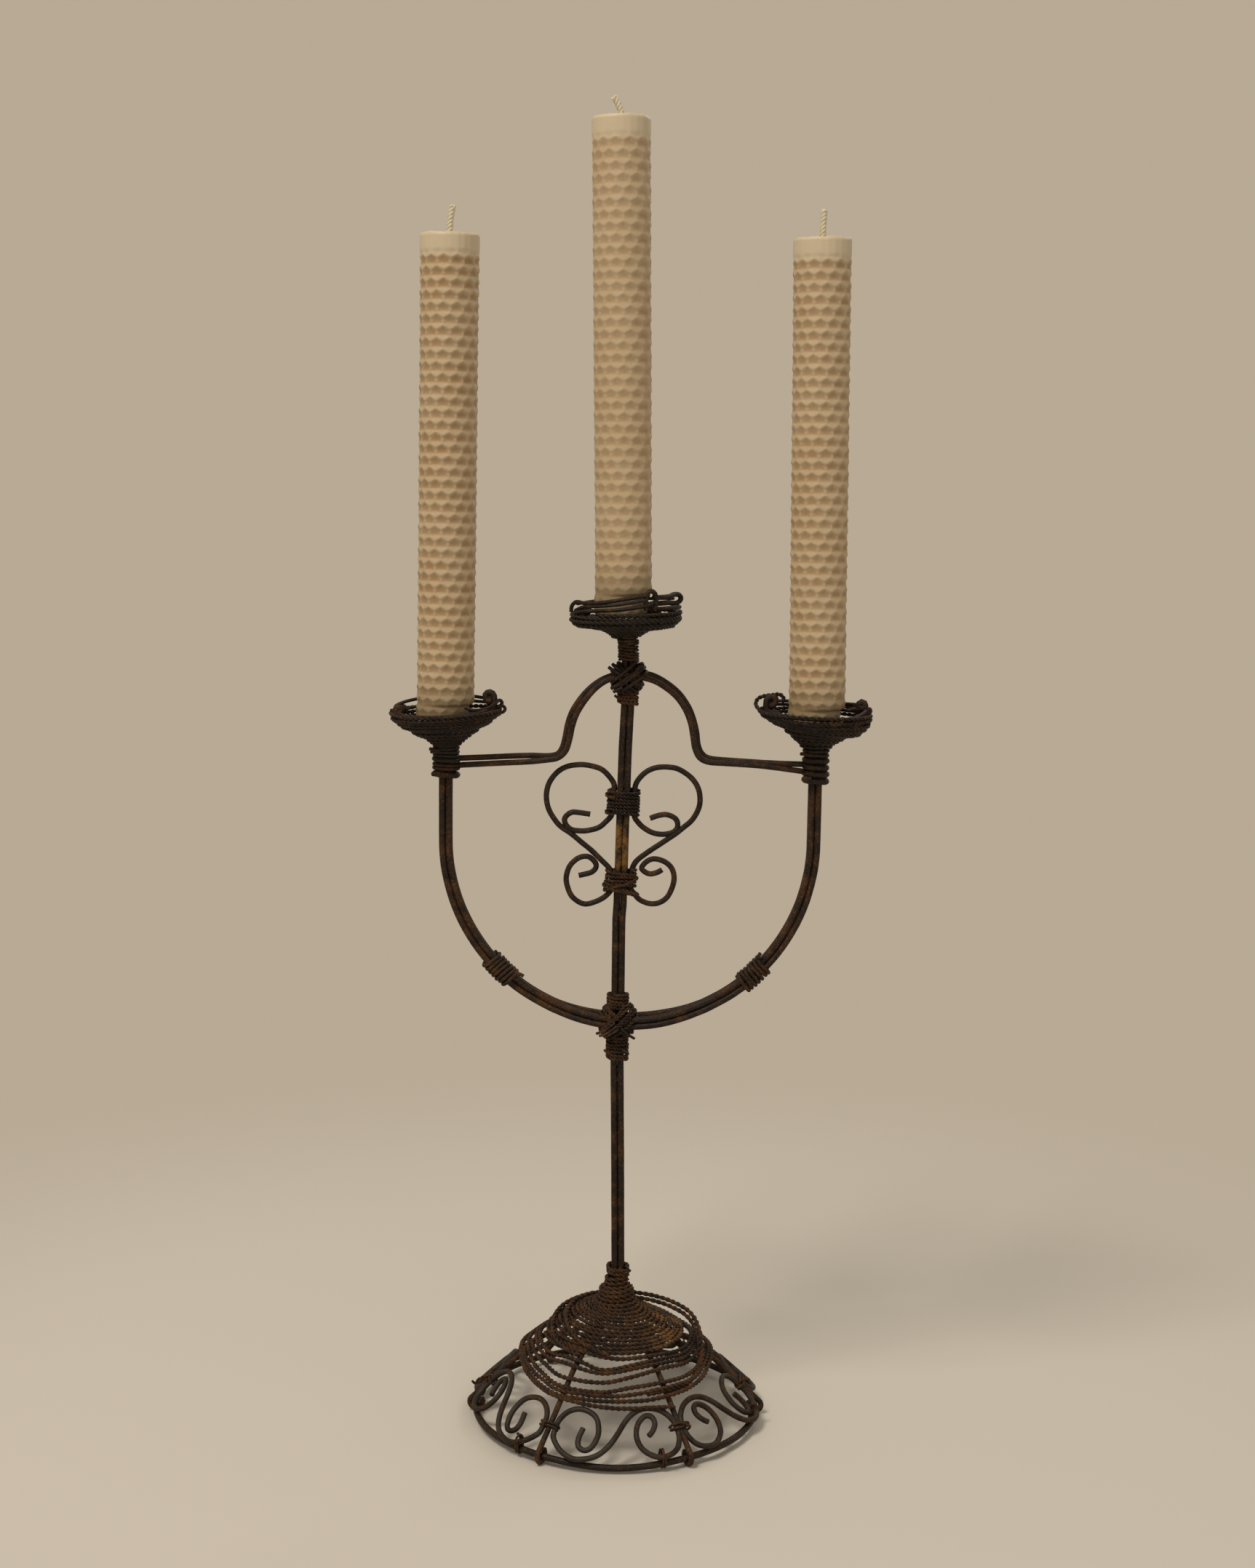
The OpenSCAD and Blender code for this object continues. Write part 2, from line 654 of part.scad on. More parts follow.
neck_binding_centre();
cup_coil(side_bowl, side_cup_depth, side_neck_z, cup_x[0]);  // cup_coil_left
cup_coil(side_bowl, side_cup_depth, side_neck_z, cup_x[2]);  // cup_coil_right
cup_coil(centre_bowl, centre_cup_depth, stem_neck_z, cup_x[1]);  // cup_coil_centre
rim_wire(side_cup_depth, side_neck_z, cup_x[0]);  // rim_wire_left
rim_wire(side_cup_depth, side_neck_z, cup_x[2]);  // rim_wire_right
rim_wire(centre_cup_depth, stem_neck_z, cup_x[1]);  // rim_wire_centre
candle(cup_x[0], side_seat_z, candle_leans[0]);  // candle_left
candle(cup_x[2], side_seat_z, candle_leans[2]);  // candle_right
candle(cup_x[1], centre_seat_z, candle_leans[1]);  // candle_centre
wick(cup_x[0], side_seat_z, candle_leans[0], 0.5);  // wick_left
wick(cup_x[2], side_seat_z, candle_leans[2], 0.4);  // wick_right
wick(cup_x[1], centre_seat_z, candle_leans[1], -3);  // wick_centre
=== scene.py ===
import random
import re
from math import copysign, cos, hypot, pi, radians, sin, sqrt, tan

import bmesh
import bpy
from mathutils import Matrix, Vector


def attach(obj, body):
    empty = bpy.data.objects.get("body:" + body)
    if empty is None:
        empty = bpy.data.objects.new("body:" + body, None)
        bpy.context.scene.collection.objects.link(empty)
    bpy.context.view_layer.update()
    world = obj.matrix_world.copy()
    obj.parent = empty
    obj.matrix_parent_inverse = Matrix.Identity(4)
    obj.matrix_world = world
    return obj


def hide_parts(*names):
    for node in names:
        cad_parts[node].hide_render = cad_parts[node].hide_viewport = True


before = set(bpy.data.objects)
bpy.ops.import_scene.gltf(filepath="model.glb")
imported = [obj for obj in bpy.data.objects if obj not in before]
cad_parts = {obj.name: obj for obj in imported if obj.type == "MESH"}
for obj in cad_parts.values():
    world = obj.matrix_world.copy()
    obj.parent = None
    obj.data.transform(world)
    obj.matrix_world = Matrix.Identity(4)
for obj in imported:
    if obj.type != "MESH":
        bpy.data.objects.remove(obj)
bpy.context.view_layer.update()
scene = bpy.context.scene
mm = 0.001
turn = 2 * pi

print("frame loaded:", len(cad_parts), "nodes")


# Node helpers

def mathNode(tree, operation, *values):
    return Graph(tree).get("ShaderNodeMath", {"operation": operation}, dict(enumerate(values)))


class Value:
    # wraps a socket, so that sums and products of values add their Math nodes
    def __init__(self, tree, socket):
        self.tree, self.socket = tree, socket

    def math(self, operation, *others):
        return mathNode(self.tree, operation, self, *others)

    def __add__(self, other): return self.math("ADD", other)
    def __sub__(self, other): return self.math("SUBTRACT", other)
    def __mul__(self, other): return self.math("MULTIPLY", other)
    def __truediv__(self, other): return self.math("DIVIDE", other)
    def __mod__(self, other): return self.math("FLOORED_MODULO", other)
    def __pow__(self, other): return self.math("POWER", other)
    def __gt__(self, other): return self.math("GREATER_THAN", other)
    def __lt__(self, other): return self.math("LESS_THAN", other)
    def __radd__(self, other): return mathNode(self.tree, "ADD", other, self)
    def __rsub__(self, other): return mathNode(self.tree, "SUBTRACT", other, self)
    def __rmul__(self, other): return mathNode(self.tree, "MULTIPLY", other, self)
    def __rtruediv__(self, other): return mathNode(self.tree, "DIVIDE", other, self)


class Graph:
    def __init__(self, tree):
        self.tree = tree

    # any node: its settings first, then the values or links of its sockets
    def node(self, kind, settings=None, sockets=None):
        node = self.tree.nodes.new(kind)
        for name, value in (settings or {}).items():
            setattr(node, name, value)
        for key, value in (sockets or {}).items():
            if isinstance(value, Value):
                self.tree.links.new(value.socket, node.inputs[key])
            else:
                node.inputs[key].default_value = value
        return node

    def get(self, kind, settings=None, sockets=None, out=0):
        return Value(self.tree, self.node(kind, settings, sockets).outputs[out])

    def vector(self, operation, *parts, out=0):
        return self.get("ShaderNodeVectorMath", {"operation": operation}, dict(enumerate(parts)), out)

    def scaled(self, vector, factor):
        return self.get("ShaderNodeVectorMath", {"operation": "SCALE"}, {0: vector, 3: factor})

    def combine(self, x, y, z):
        return self.get("ShaderNodeCombineXYZ", {}, {0: x, 1: y, 2: z})

    def split(self, vector):
        node = self.node("ShaderNodeSeparateXYZ", {}, {0: vector})
        return [Value(self.tree, node.outputs[i]) for i in range(3)]

    # 0 below low, 1 above high, smooth between
    def rise(self, value, low, high):
        return self.get("ShaderNodeMapRange", {"interpolation_type": "SMOOTHSTEP"},
                        {0: value, 1: low, 2: high, 3: 0.0, 4: 1.0})

    def mix(self, factor, a, b):
        return self.get("ShaderNodeMix", {"data_type": "RGBA"}, {0: factor, 6: a, 7: b}, out=2)

    def bump(self, strength, depth, height):
        return self.get("ShaderNodeBump", {}, {"Strength": strength, "Distance": depth * mm, "Height": height})

    # noise over a place, along w, or both
    def noise(self, scale, detail, place=None, w=None, roughness=0.5, out=0):
        size = "3D" if w is None else "1D" if place is None else "4D"
        sockets = {"Vector": place, "W": w, "Scale": scale, "Detail": detail, "Roughness": roughness}
        sockets = {key: value for key, value in sockets.items() if value is not None}
        return self.get("ShaderNodeTexNoise", {"noise_dimensions": size}, sockets, out)


# Geometry Nodes: a tree has an input for each size, and gives one plain mesh with its material

def startTree(name, inputs):
    tree = bpy.data.node_groups.new(name, "GeometryNodeTree")
    tree.interface.new_socket("Geometry", in_out="INPUT", socket_type="NodeSocketGeometry")
    kinds = {int: "Int", float: "Float", tuple: "Vector", type(None): "Material"}
    for label, value in inputs.items():
        socket = tree.interface.new_socket(label, in_out="INPUT", socket_type="NodeSocket" + kinds[type(value)])
        if value is not None:
            socket.default_value = value
    tree.interface.new_socket("Geometry", in_out="OUTPUT", socket_type="NodeSocketGeometry")
    graph = Graph(tree)
    return graph, {s.name: Value(tree, s) for s in graph.node("NodeGroupInput").outputs if s.name}


def endTree(graph, mesh, given):
    mesh = graph.get("GeometryNodeRealizeInstances", {}, {0: mesh})
    mesh = graph.get("GeometryNodeSetMaterial", {}, {"Geometry": mesh, "Material": given["Material"]})
    graph.node("NodeGroupOutput", {}, {0: mesh})
    return graph.tree


def shadeSmooth(graph, mesh):
    return graph.get("GeometryNodeSetShadeSmooth", {"domain": "FACE"}, {"Geometry": mesh, "Shade Smooth": True})


# One tree for every wire: a plain rod, a twisted pair, or either of them wound round a guide line
def wireTree(name, sides, dents, twisted=False, wound=False):
    inputs = {"Radius": 1.2 * mm, "Sides": sides, "Step": 1.2 * mm, "Wander": 0.0, "Dents": dents, "Seed": 0.0,
              "Material": None}
    if twisted:
        inputs.update({"Strands": 2, "Lay": 5 * mm})
    if wound:
        inputs.update({"Turns": 6.0, "Half Width": 4 * mm, "Half Depth": 4 * mm, "Corners": 1.0,
                       "Face": (0, 1, 0), "Start": 0.0, "Slant": 0.0, "Slack": 0.2 * mm})
    graph, given = startTree(name, inputs)
    seed, slack = given["Seed"], given.get("Slack")
    curve = graph.get("GeometryNodeMeshToCurve", {}, {"Mesh": given["Geometry"]})
    tangent = graph.get("GeometryNodeInputTangent")
    place = graph.get("GeometryNodeInputPosition")

    def moved(curve, offset):
        return graph.get("GeometryNodeSetPosition", {}, {"Geometry": curve, "Offset": offset})

    if wound:
        curve = graph.get("GeometryNodeResampleCurve", {"mode": "COUNT"},
                          {"Curve": curve, "Count": given["Turns"] * 32 + 1})
        angle = graph.get("GeometryNodeSplineParameter") * given["Turns"] * turn + given["Start"]
        face = given["Face"]
        lean = graph.vector("DOT_PRODUCT", face, tangent, out=1)
        across = graph.vector("NORMALIZE", graph.vector("SUBTRACT", face, graph.scaled(tangent, lean)))
        aside = graph.vector("CROSS_PRODUCT", tangent, across)
        c, s = angle.math("COSINE"), angle.math("SINE")
        squareC, squareS = [v.math("SIGN") * (v.math("ABSOLUTE") ** given["Corners"]) for v in (c, s)]
        loose = graph.noise(1.0, 1.0, w=angle * 0.9 + seed * 7.3) - 0.5
        drift = graph.noise(1.0, 0.0, w=angle * 0.5 + seed * 3.1 + 40.0) - 0.5
        out = slack * (loose * 2.0)
        offset = graph.vector("ADD", graph.scaled(aside, squareC * (given["Half Width"] + out)),
                              graph.scaled(across, squareS * (given["Half Depth"] + out)))
        along = graph.scaled(tangent, given["Slant"] * c + slack * (drift * 3.0))
        curve = moved(curve, graph.vector("ADD", offset, along))
    curve = graph.get("GeometryNodeResampleCurve", {"mode": "LENGTH"}, {"Curve": curve, "Length": given["Step"]})
    if not wound:
        sway = graph.noise(55.0, 1.5, place, seed * 5.7, out=1)
        sway = graph.vector("SUBTRACT", sway, (0.5, 0.5, 0.5))
        curve = moved(curve, graph.scaled(sway, given["Wander"] * 2.0))
    radius = given["Radius"]
    if twisted:
        copies = graph.node("GeometryNodeDuplicateElements", {"domain": "SPLINE"},
                            {"Geometry": curve, "Amount": given["Strands"]})
        curve, number = [Value(graph.tree, socket) for socket in copies.outputs]
        run = graph.get("GeometryNodeSplineParameter", out=1)
        angle = (run / given["Lay"] + number / given["Strands"]) * turn
        normal = graph.get("GeometryNodeInputNormal")
        aside = graph.vector("CROSS_PRODUCT", tangent, normal)
        offset = graph.vector("ADD", graph.scaled(normal, angle.math("COSINE")),
                              graph.scaled(aside, angle.math("SINE")))
        curve = moved(curve, graph.scaled(offset, radius * 0.46))
        radius = radius * 0.56
    pitted = graph.noise(420.0, 2.0, place, seed * 2.9) - 0.5
    profile = graph.get("GeometryNodeCurvePrimitiveCircle", {"mode": "RADIUS"},
                        {"Resolution": given["Sides"], "Radius": radius})
    mesh = shadeSmooth(graph, graph.get("GeometryNodeCurveToMesh", {}, {
        "Curve": curve, "Profile Curve": profile, "Scale": pitted * given["Dents"] * 2.0 + 1.0, "Fill Caps": True}))
    edge = graph.get("GeometryNodeInputMeshEdgeAngle") > 1.2
    mesh = graph.get("GeometryNodeSetShadeSmooth", {"domain": "EDGE"},
                     {"Geometry": mesh, "Selection": edge, "Shade Smooth": False})
    return endTree(graph, mesh, given)


trees = {
    "rod": wireTree("drawn rod", 12, 0.05),
    "cord": wireTree("twisted wire", 6, 0.08, twisted=True),
    "windRod": wireTree("wound wire", 8, 0.05, wound=True),
    "windCord": wireTree("wound twisted wire", 6, 0.05, twisted=True, wound=True),
}


# Runs a tree over guide lines and gives the plain mesh that comes out. A line is a list of points, closed where its
# last point is its first. Values are named as the tree's inputs are, and lengths are in millimetres.
def grow(kind, lines, material, **values):
    verts, edges = [], []
    for line in lines:
        closed = (Vector(line[0]) - Vector(line[-1])).length < 1e-6
        first = len(verts)
        verts += [Vector(p) * mm for p in (line[:-1] if closed else line)]
        edges += [(i, i + 1) for i in range(first, len(verts) - 1)]
        if closed:
            edges.append((len(verts) - 1, first))
    guide = bpy.data.meshes.new("guide")
    guide.from_pydata(verts, edges, [])
    holder = bpy.data.objects.new("guide", guide)
    scene.collection.objects.link(holder)
    form = holder.modifiers.new("form", "NODES")
    form.node_group = trees[kind]
    sockets = {s.name: s.identifier for s in form.node_group.interface.items_tree
               if s.item_type == "SOCKET" and s.in_out == "INPUT"}
    for key, value in values.items():
        label = re.sub("([A-Z])", r" \1", key)
        if key in ("turns", "seed", "dents", "corners", "start", "seamAngle"):
            value = float(value)
        elif key not in ("sides", "strands", "face"):
            value = value * mm
        form[sockets[label[0].upper() + label[1:]]] = value
    form[sockets["Material"]] = material
    made = bpy.data.meshes.new_from_object(holder.evaluated_get(bpy.context.evaluated_depsgraph_get()))
    bpy.data.objects.remove(holder)
    bpy.data.meshes.remove(guide)
    return made


# Joins meshes into one piece that rides on a body and stands for CAD nodes; without a list of them, for the one
# of its own name, as leg1 does for leg_1
def makePiece(name, meshes, body="frame", nodes=None):
    nodes = nodes or [re.sub("([A-Z0-9])", r"_\1", name).lower()]
    shape = bmesh.new()
    materials = []
    for mesh in meshes:
        first = len(shape.faces)
        shape.from_mesh(mesh)
        shape.faces.ensure_lookup_table()
        material = [m for m in mesh.materials if m][0]
        if material not in materials:
            materials.append(material)
        for face in shape.faces[first:]:
            face.material_index = materials.index(material)
        bpy.data.meshes.remove(mesh)
    joined = bpy.data.meshes.new(name)
    shape.to_mesh(joined)
    shape.free()
    for material in materials:
        joined.materials.append(material)
    piece = bpy.data.objects.new(name, joined)
    scene.collection.objects.link(piece)
    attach(piece, body)
    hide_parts(*nodes)


# Curves in millimetres

def blend(a, b, t):
    return a + (b - a) * t


def ease(t):
    t = min(1, max(0, t))
    return t * t * (3 - 2 * t)


def lookup(table, x):
    for (x0, y0), (x1, y1) in zip(table, table[1:]):
        if x <= x1:
            return y0 + (y1 - y0) * max(0, x - x0) / (x1 - x0)
    return table[-1][1]


# A smooth line through points, with some steps between two of them
def smooth(points, steps=6):
    points = [Vector(p) for p in points]
    out = []
    for i in range(len(points) - 1):
        a, b = points[max(i - 1, 0)], points[i]
        c, d = points[i + 1], points[min(i + 2, len(points) - 1)]
        for k in range(steps):
            t = k / steps
            out.append((2 * b + (c - a) * t + (2 * a - 5 * b + 4 * c - d) * t ** 2
                        + (3 * b - a - 3 * c + d) * t ** 3) / 2)
    return out + [points[-1]]


def polar(radius, azimuth, z=0):
    a = radians(azimuth)
    return Vector((radius * cos(a), radius * sin(a), z))


# The steps along a line of radius and height, as a table of radius and one of height, and its length
def measured(line):
    steps = [0.0]
    for (r0, z0), (r1, z1) in zip(line, line[1:]):
        steps.append(steps[-1] + hypot(r1 - r0, z1 - z0))
    return [(s, p[0]) for s, p in zip(steps, line)], [(s, p[1]) for s, p in zip(steps, line)], steps[-1]


# A closed turn of wire: a rectangle with rounded corners, and its height at each cosine and sine
def roundTurn(wide, deep, height, cornerX=0.8, cornerY=0.8, step=12):
    points = []
    for j in range(0, 360, step):
        c, s = cos(radians(j)), sin(radians(j))
        points.append(Vector((copysign(abs(c) ** cornerX, c) * wide, copysign(abs(s) ** cornerY, s) * deep,
                              height(c, s))))
    return points + points[:1]


# Materials

def newMaterial(name):
    material = bpy.data.materials.new(name)
    material.use_nodes = True
    material.node_tree.nodes.clear()
    graph = Graph(material.node_tree)
    return material, graph, graph.get("ShaderNodeTexCoord", out=3)


def closeMaterial(graph, sockets):
    shader = graph.get("ShaderNodeBsdfPrincipled", {}, sockets)
    graph.node("ShaderNodeOutputMaterial", {}, {0: shader})


def srgb(r, g, b):
    def one(v):
        v /= 255
        return v / 12.92 if v <= 0.04045 else ((v + 0.055) / 1.055) ** 2.4
    return (one(r), one(g), one(b), 1)


ironLook = {
    "dark": srgb(23, 14, 7),
    "brown": srgb(51, 32, 16),
    "orange": srgb(90, 55, 25),
    "ochre": srgb(140, 98, 44),
    "bare": srgb(57, 52, 45),
    "steel": srgb(74, 70, 63),
    "freckle": srgb(104, 74, 42),
    "roughness": (0.5, 0.86), "pitDepth": 0.16,
    # how closely each layer of its pattern is set, larger for finer
    "patches": 38, "bareSpots": 70, "blotches": 170, "grain": 900, "freckles": 1300, "pits": 2400,
}


# Old iron wire: dark scale, brown rust in patches, freckles and some bare metal; ochre where a stain asks for it
def ironMaterial(name, rust, bare, stain=None, metal="bare"):
    look = ironLook
    material, graph, place = newMaterial(name)

    def noise(layer, detail, roughness, shift):
        moved = graph.vector("ADD", place, (shift, shift * 0.7, shift * 1.3))
        return graph.noise(look[layer], detail, moved, roughness=roughness)

    broad, middle, fine = noise("patches", 3, 0.55, 0.0), noise("blotches", 4, 0.6, 0.3), noise("grain", 4, 0.65, 0.7)
    rustMask = graph.rise(broad * 0.45 + middle * 0.55 + rust * 0.5, 0.62, 0.82)
    orangeMask = graph.rise(middle * 0.5 + fine * 0.5 + rust * 0.18, 0.56, 0.72)
    bareMask = graph.rise(noise("bareSpots", 4, 0.6, 1.9) + bare * 0.5, 0.62, 0.76) * (1 - rustMask * 0.6)
    freckles = graph.rise(noise("freckles", 3, 0.6, 3.1), 0.52, 0.64)

    colour = graph.mix(rustMask, look["dark"], look["brown"])
    colour = graph.mix(orangeMask * rustMask * 0.7, colour, look["orange"])
    colour = graph.mix(freckles * (0.25 + rustMask * 0.35), colour, look["freckle"])
    colour = graph.mix(bareMask * 0.55, colour, look[metal])
    if stain:
        x, y, z = graph.split(place)
        spots = graph.rise(middle * 0.6 + fine * 0.4, 0.42, 0.6)
        colour = graph.mix(spots * stain(graph, x / mm, y / mm, z / mm), colour, look["ochre"])
    grain = graph.rise(fine, 0.3, 0.7)
    colour = graph.mix(grain * 0.35, colour, graph.mix(0.5, look["dark"], colour))
    height = fine * 0.6 + noise("pits", 3, 0.6, 2.3) * 0.4 + middle * 0.5
    closeMaterial(graph, {
        "Base Color": colour, "Roughness": blend(*look["roughness"], rustMask * 0.6 + fine * 0.4),
        "Metallic": bareMask * 0.5 + 0.08, "Specular IOR Level": 0.26,
        "Normal": graph.bump(0.55, look["pitDepth"], height)})
    return material


def heartStain(graph, x, y, z):
    # runs of golden rust on the stem between the two heart bindings
    return graph.rise(z, 243, 250) * (1 - graph.rise(z, 264, 270)) * 0.62


def hoodStain(graph, x, y, z):
    # an orange-brown bloom on the right of the hood
    return graph.rise(x + y * 0.25, 4, 20) * graph.rise(z, 30, 36) * 0.55


ironDark = ironMaterial("dark iron rod", rust=0.3, bare=0.16)
ironArm = ironMaterial("worn iron rod", rust=0.46, bare=0.24)
ironScroll = ironMaterial("scroll iron", rust=0.34, bare=0.3)
ironPanel = ironMaterial("panel iron", rust=0.32, bare=0.42, metal="steel")
ironLeg = ironMaterial("leg iron", rust=0.5, bare=0.12)
ironStem = ironMaterial("stem iron", rust=0.34, bare=0.14, stain=heartStain)
rustyCord = ironMaterial("rusty twisted wire", rust=0.52, bare=0.1)
rustyHood = ironMaterial("hood twisted wire", rust=0.48, bare=0.12, stain=hoodStain)
rustyCup = ironMaterial("cup wire", rust=0.3, bare=0.14)

print("iron materials ready")

# pit and wall are the cells' own tones, and through the cell field they also paint shade on the upper half of each cell
# and light on its lower half
waxLook = {
    "wall": srgb(182, 156, 119), "pitAndShade": srgb(154, 120, 78), "pale": srgb(204, 186, 154), "foot": srgb(114, 95, 65),
    "topBand": 9.0, "footBand": 24.0, "roughness": (0.42, 0.6), "sheen": 0.35, "depth": 0.9,
}


def waxMaterial(length):
    look = waxLook
    material, graph, place = newMaterial("beeswax sheet")
    cell, height = [graph.get("ShaderNodeAttribute", {"attribute_name": name}, out=2) for name in ("cell", "height")]

    def noise(scale, detail=3.0):
        return graph.noise(scale, detail, place)

    blot, fine = noise(45), noise(620, 4)
    # painted light and shade: the cell field, partly the cells' own pattern and partly painted shade on the upper half
    # of each cell, mixes the pit colour with the wall colour
    colour = graph.mix(graph.rise(cell + (fine - 0.5) * 0.4, 0.0, 0.9), look["pitAndShade"], look["wall"])
    colour = graph.mix((blot - 0.35) * 0.5, colour, look["pale"])
    edge, band = height + (noise(260) - 0.5) * 3.0, length - look["topBand"]
    colour = graph.mix(graph.rise(edge, band - 1.5, band + 1.5) * 0.75, colour, look["pale"])
    foot = 1 - graph.rise(edge, look["footBand"] * 0.25, look["footBand"])
    closeMaterial(graph, {
        "Base Color": graph.mix(foot * 0.6, colour, look["foot"]), "Roughness": blend(*look["roughness"], fine),
        "Subsurface Weight": 0.15, "Subsurface Radius": (1.0, 0.55, 0.25), "Subsurface Scale": look["depth"] * mm,
        "Specular IOR Level": look["sheen"], "Normal": graph.bump(0.35, 0.25, fine * 0.7 + noise(1800) * 0.3)})
    return material


wickLook = {"dull": srgb(176, 160, 126), "pale": srgb(228, 216, 188), "roughness": 0.85, "fluff": 0.15}


def wickMaterial():
    material, graph, place = newMaterial("cotton wick")
    fluff, tint = graph.noise(1500.0, 3.0, place), graph.noise(180.0, 2.0, place)
    closeMaterial(graph, {
        "Base Color": graph.mix(fluff * 0.6 + tint * 0.4, wickLook["dull"], wickLook["pale"]),
        "Roughness": wickLook["roughness"], "Normal": graph.bump(0.6, wickLook["fluff"], fluff)})
    return material


# Base

baseSize = {
    "ringRadius": 62.0, "ringHeight": 4.0, "ringRod": 1.45, "frontSag": 1.5, "scrollWire": 1.2,
    "eyeRadius": 2.85, "eyeHeight": 4.05, "slant": 43.5, "kneeRadius": 36.0, "legTop": (4.75, 57.5),
    "legWire": 1.2, "legs": 6, "coilRadius": 1.1, "coilLay": 5.6, "leftLift": 1.7,
}
# How a leg bows from the stem to its knee, as shares of the way out and of the way down
legBow = [(0, 0), (0, 0.11), (0.04, 0.23), (0.14, 0.36), (0.3, 0.467), (0.47, 0.571), (0.66, 0.72), (0.84, 0.878),
          (1, 1)]
ringR, eyeR, eyeZ, kneeR = [baseSize[key] for key in ("ringRadius", "eyeRadius", "eyeHeight", "kneeRadius")]
slant = radians(baseSize["slant"])
slope = tan(slant)
eyeOut = (ringR + eyeR * sin(slant), eyeZ + eyeR * cos(slant))


# The slope on which the legs end and the scrolls lie
def onSlope(radius):
    return eyeOut[1] + (eyeOut[0] - radius) * slope


kneeZ = onSlope(kneeR)
legBend = [(blend(baseSize["legTop"][0], kneeR, a), blend(baseSize["legTop"][1], kneeZ, b)) for a, b in legBow]


# The hood stands a little higher on its left shoulder than on its right
def shoulder(radius, azimuth):
    return -baseSize["leftLift"] * cos(radians(azimuth)) * ease((radius - 6) / 9) * ease((34 - radius) / 12)


# The ring hangs a little between the two front legs
def ringDrop(azimuth):
    return baseSize["frontSag"] * max(0, -sin(radians(azimuth))) ** 12


# A leg, down to its eye round the ring
def legPath(azimuth):
    flat = legBend + [(blend(kneeR, eyeOut[0], k / 4), blend(kneeZ, eyeOut[1], k / 4)) for k in (1, 2, 3)]
    for k in range(13):
        a = radians(blend(90 - baseSize["slant"], -215, k / 12))
        flat.append((ringR + eyeR * cos(a), eyeZ + eyeR * sin(a)))
    return smooth([polar(r, azimuth, z + shoulder(r, azimuth)) for r, z in flat], 4)


# The line on which the coils lie, outside the legs
def coatLine():
    flat = [Vector(p) for p in legBend + [eyeOut]]
    lay = baseSize["legWire"] + baseSize["coilRadius"] + 0.1
    line = []
    for i, p in enumerate(flat):
        heading = (flat[min(i + 1, len(flat) - 1)] - flat[max(i - 1, 0)]).normalized()
        line.append(tuple(p + lay * Vector((-heading.y, heading.x))))
    return line


coat = coatLine()

ringPath = [polar(ringR, a, baseSize["ringHeight"] - ringDrop(a)) for a in range(0, 360, 3)]
makePiece("footRing", [grow("rod", [ringPath + ringPath[:1]], ironDark, radius=baseSize["ringRod"], sides=14,
                            step=1.3, wander=0.1, seed=1)])

for k in range(baseSize["legs"]):
    mesh = grow("rod", [legPath(60 * k)], ironLeg, radius=baseSize["legWire"], step=0.9, wander=0.12, dents=0.06,
                seed=10 + k)
    makePiece("leg%d" % (k + 1), [mesh])

hoodLook = {
    "throat": [(4.5, 64), (4.5, 61.8), (4.7, 60), (5.6, 58.6)],
    "pitch": 2.0, "widePitch": 2.16, "end": 30.4, "sway": (0.12, 0.3), "seed": 4,
    # two strands that cross the left of the hood, as azimuth, radius and height above the coil
    "across": [
        [(95, 13, 0.9), (130, 15.2, 1.7), (165, 18.2, 1.9), (190, 21, 1.8), (215, 24.6, 1.7), (240, 28.2, 1.5),
         (265, 31, 0.6)],
        [(100, 17, 1.2), (135, 20.6, 1.8), (165, 24.2, 2), (190, 27.4, 1.9), (215, 30.6, 1.2), (240, 32.4, 0.4)],
    ],
}
hoodRadii, hoodHeights, _ = measured(hoodLook["throat"] + coat)


def hoodPath():
    rng = random.Random(hoodLook["seed"])
    sway = [rng.uniform(-1, 1) for _ in range(40)]
    points, s, a = [], 0.0, 0
    while lookup(hoodRadii, s) <= hoodLook["end"]:
        loose = ease((lookup(hoodRadii, s) - 12) / 12)
        off = blend(sway[(a // 150) % 40], sway[(a // 150 + 1) % 40], (a % 150) / 150)
        off *= blend(*hoodLook["sway"], loose)
        r, z = lookup(hoodRadii, s + off), lookup(hoodHeights, s + off)
        points.append(polar(r + 0.12 * sin(radians(2.3 * a)), 75 - a, z + shoulder(r, 75 - a)))
        s += blend(hoodLook["pitch"], hoodLook["widePitch"], loose) / 36
        a += 10
    return points


# A strand that lies on the hood, lifted off the coil
def overHood(points):
    return [polar(r + lift * 0.55, a, lookup(coat, r) + shoulder(r, a) + lift * 0.83)
            for a, r, lift in smooth(points, 8)]


hood = grow("cord", [hoodPath()] + [overHood(line) for line in hoodLook["across"]], rustyHood,
            radius=baseSize["coilRadius"], step=0.85, wander=0.16, lay=baseSize["coilLay"], seed=21)
makePiece("hoodCoil", [hood])

print("hood wound")

looseLook = {"radius": 1.08, "lay": 5, "tighter": 0.8, "sagIn": 0.3, "sagDown": 1.1, "twin": (0.8, 2.5, 1.9)}
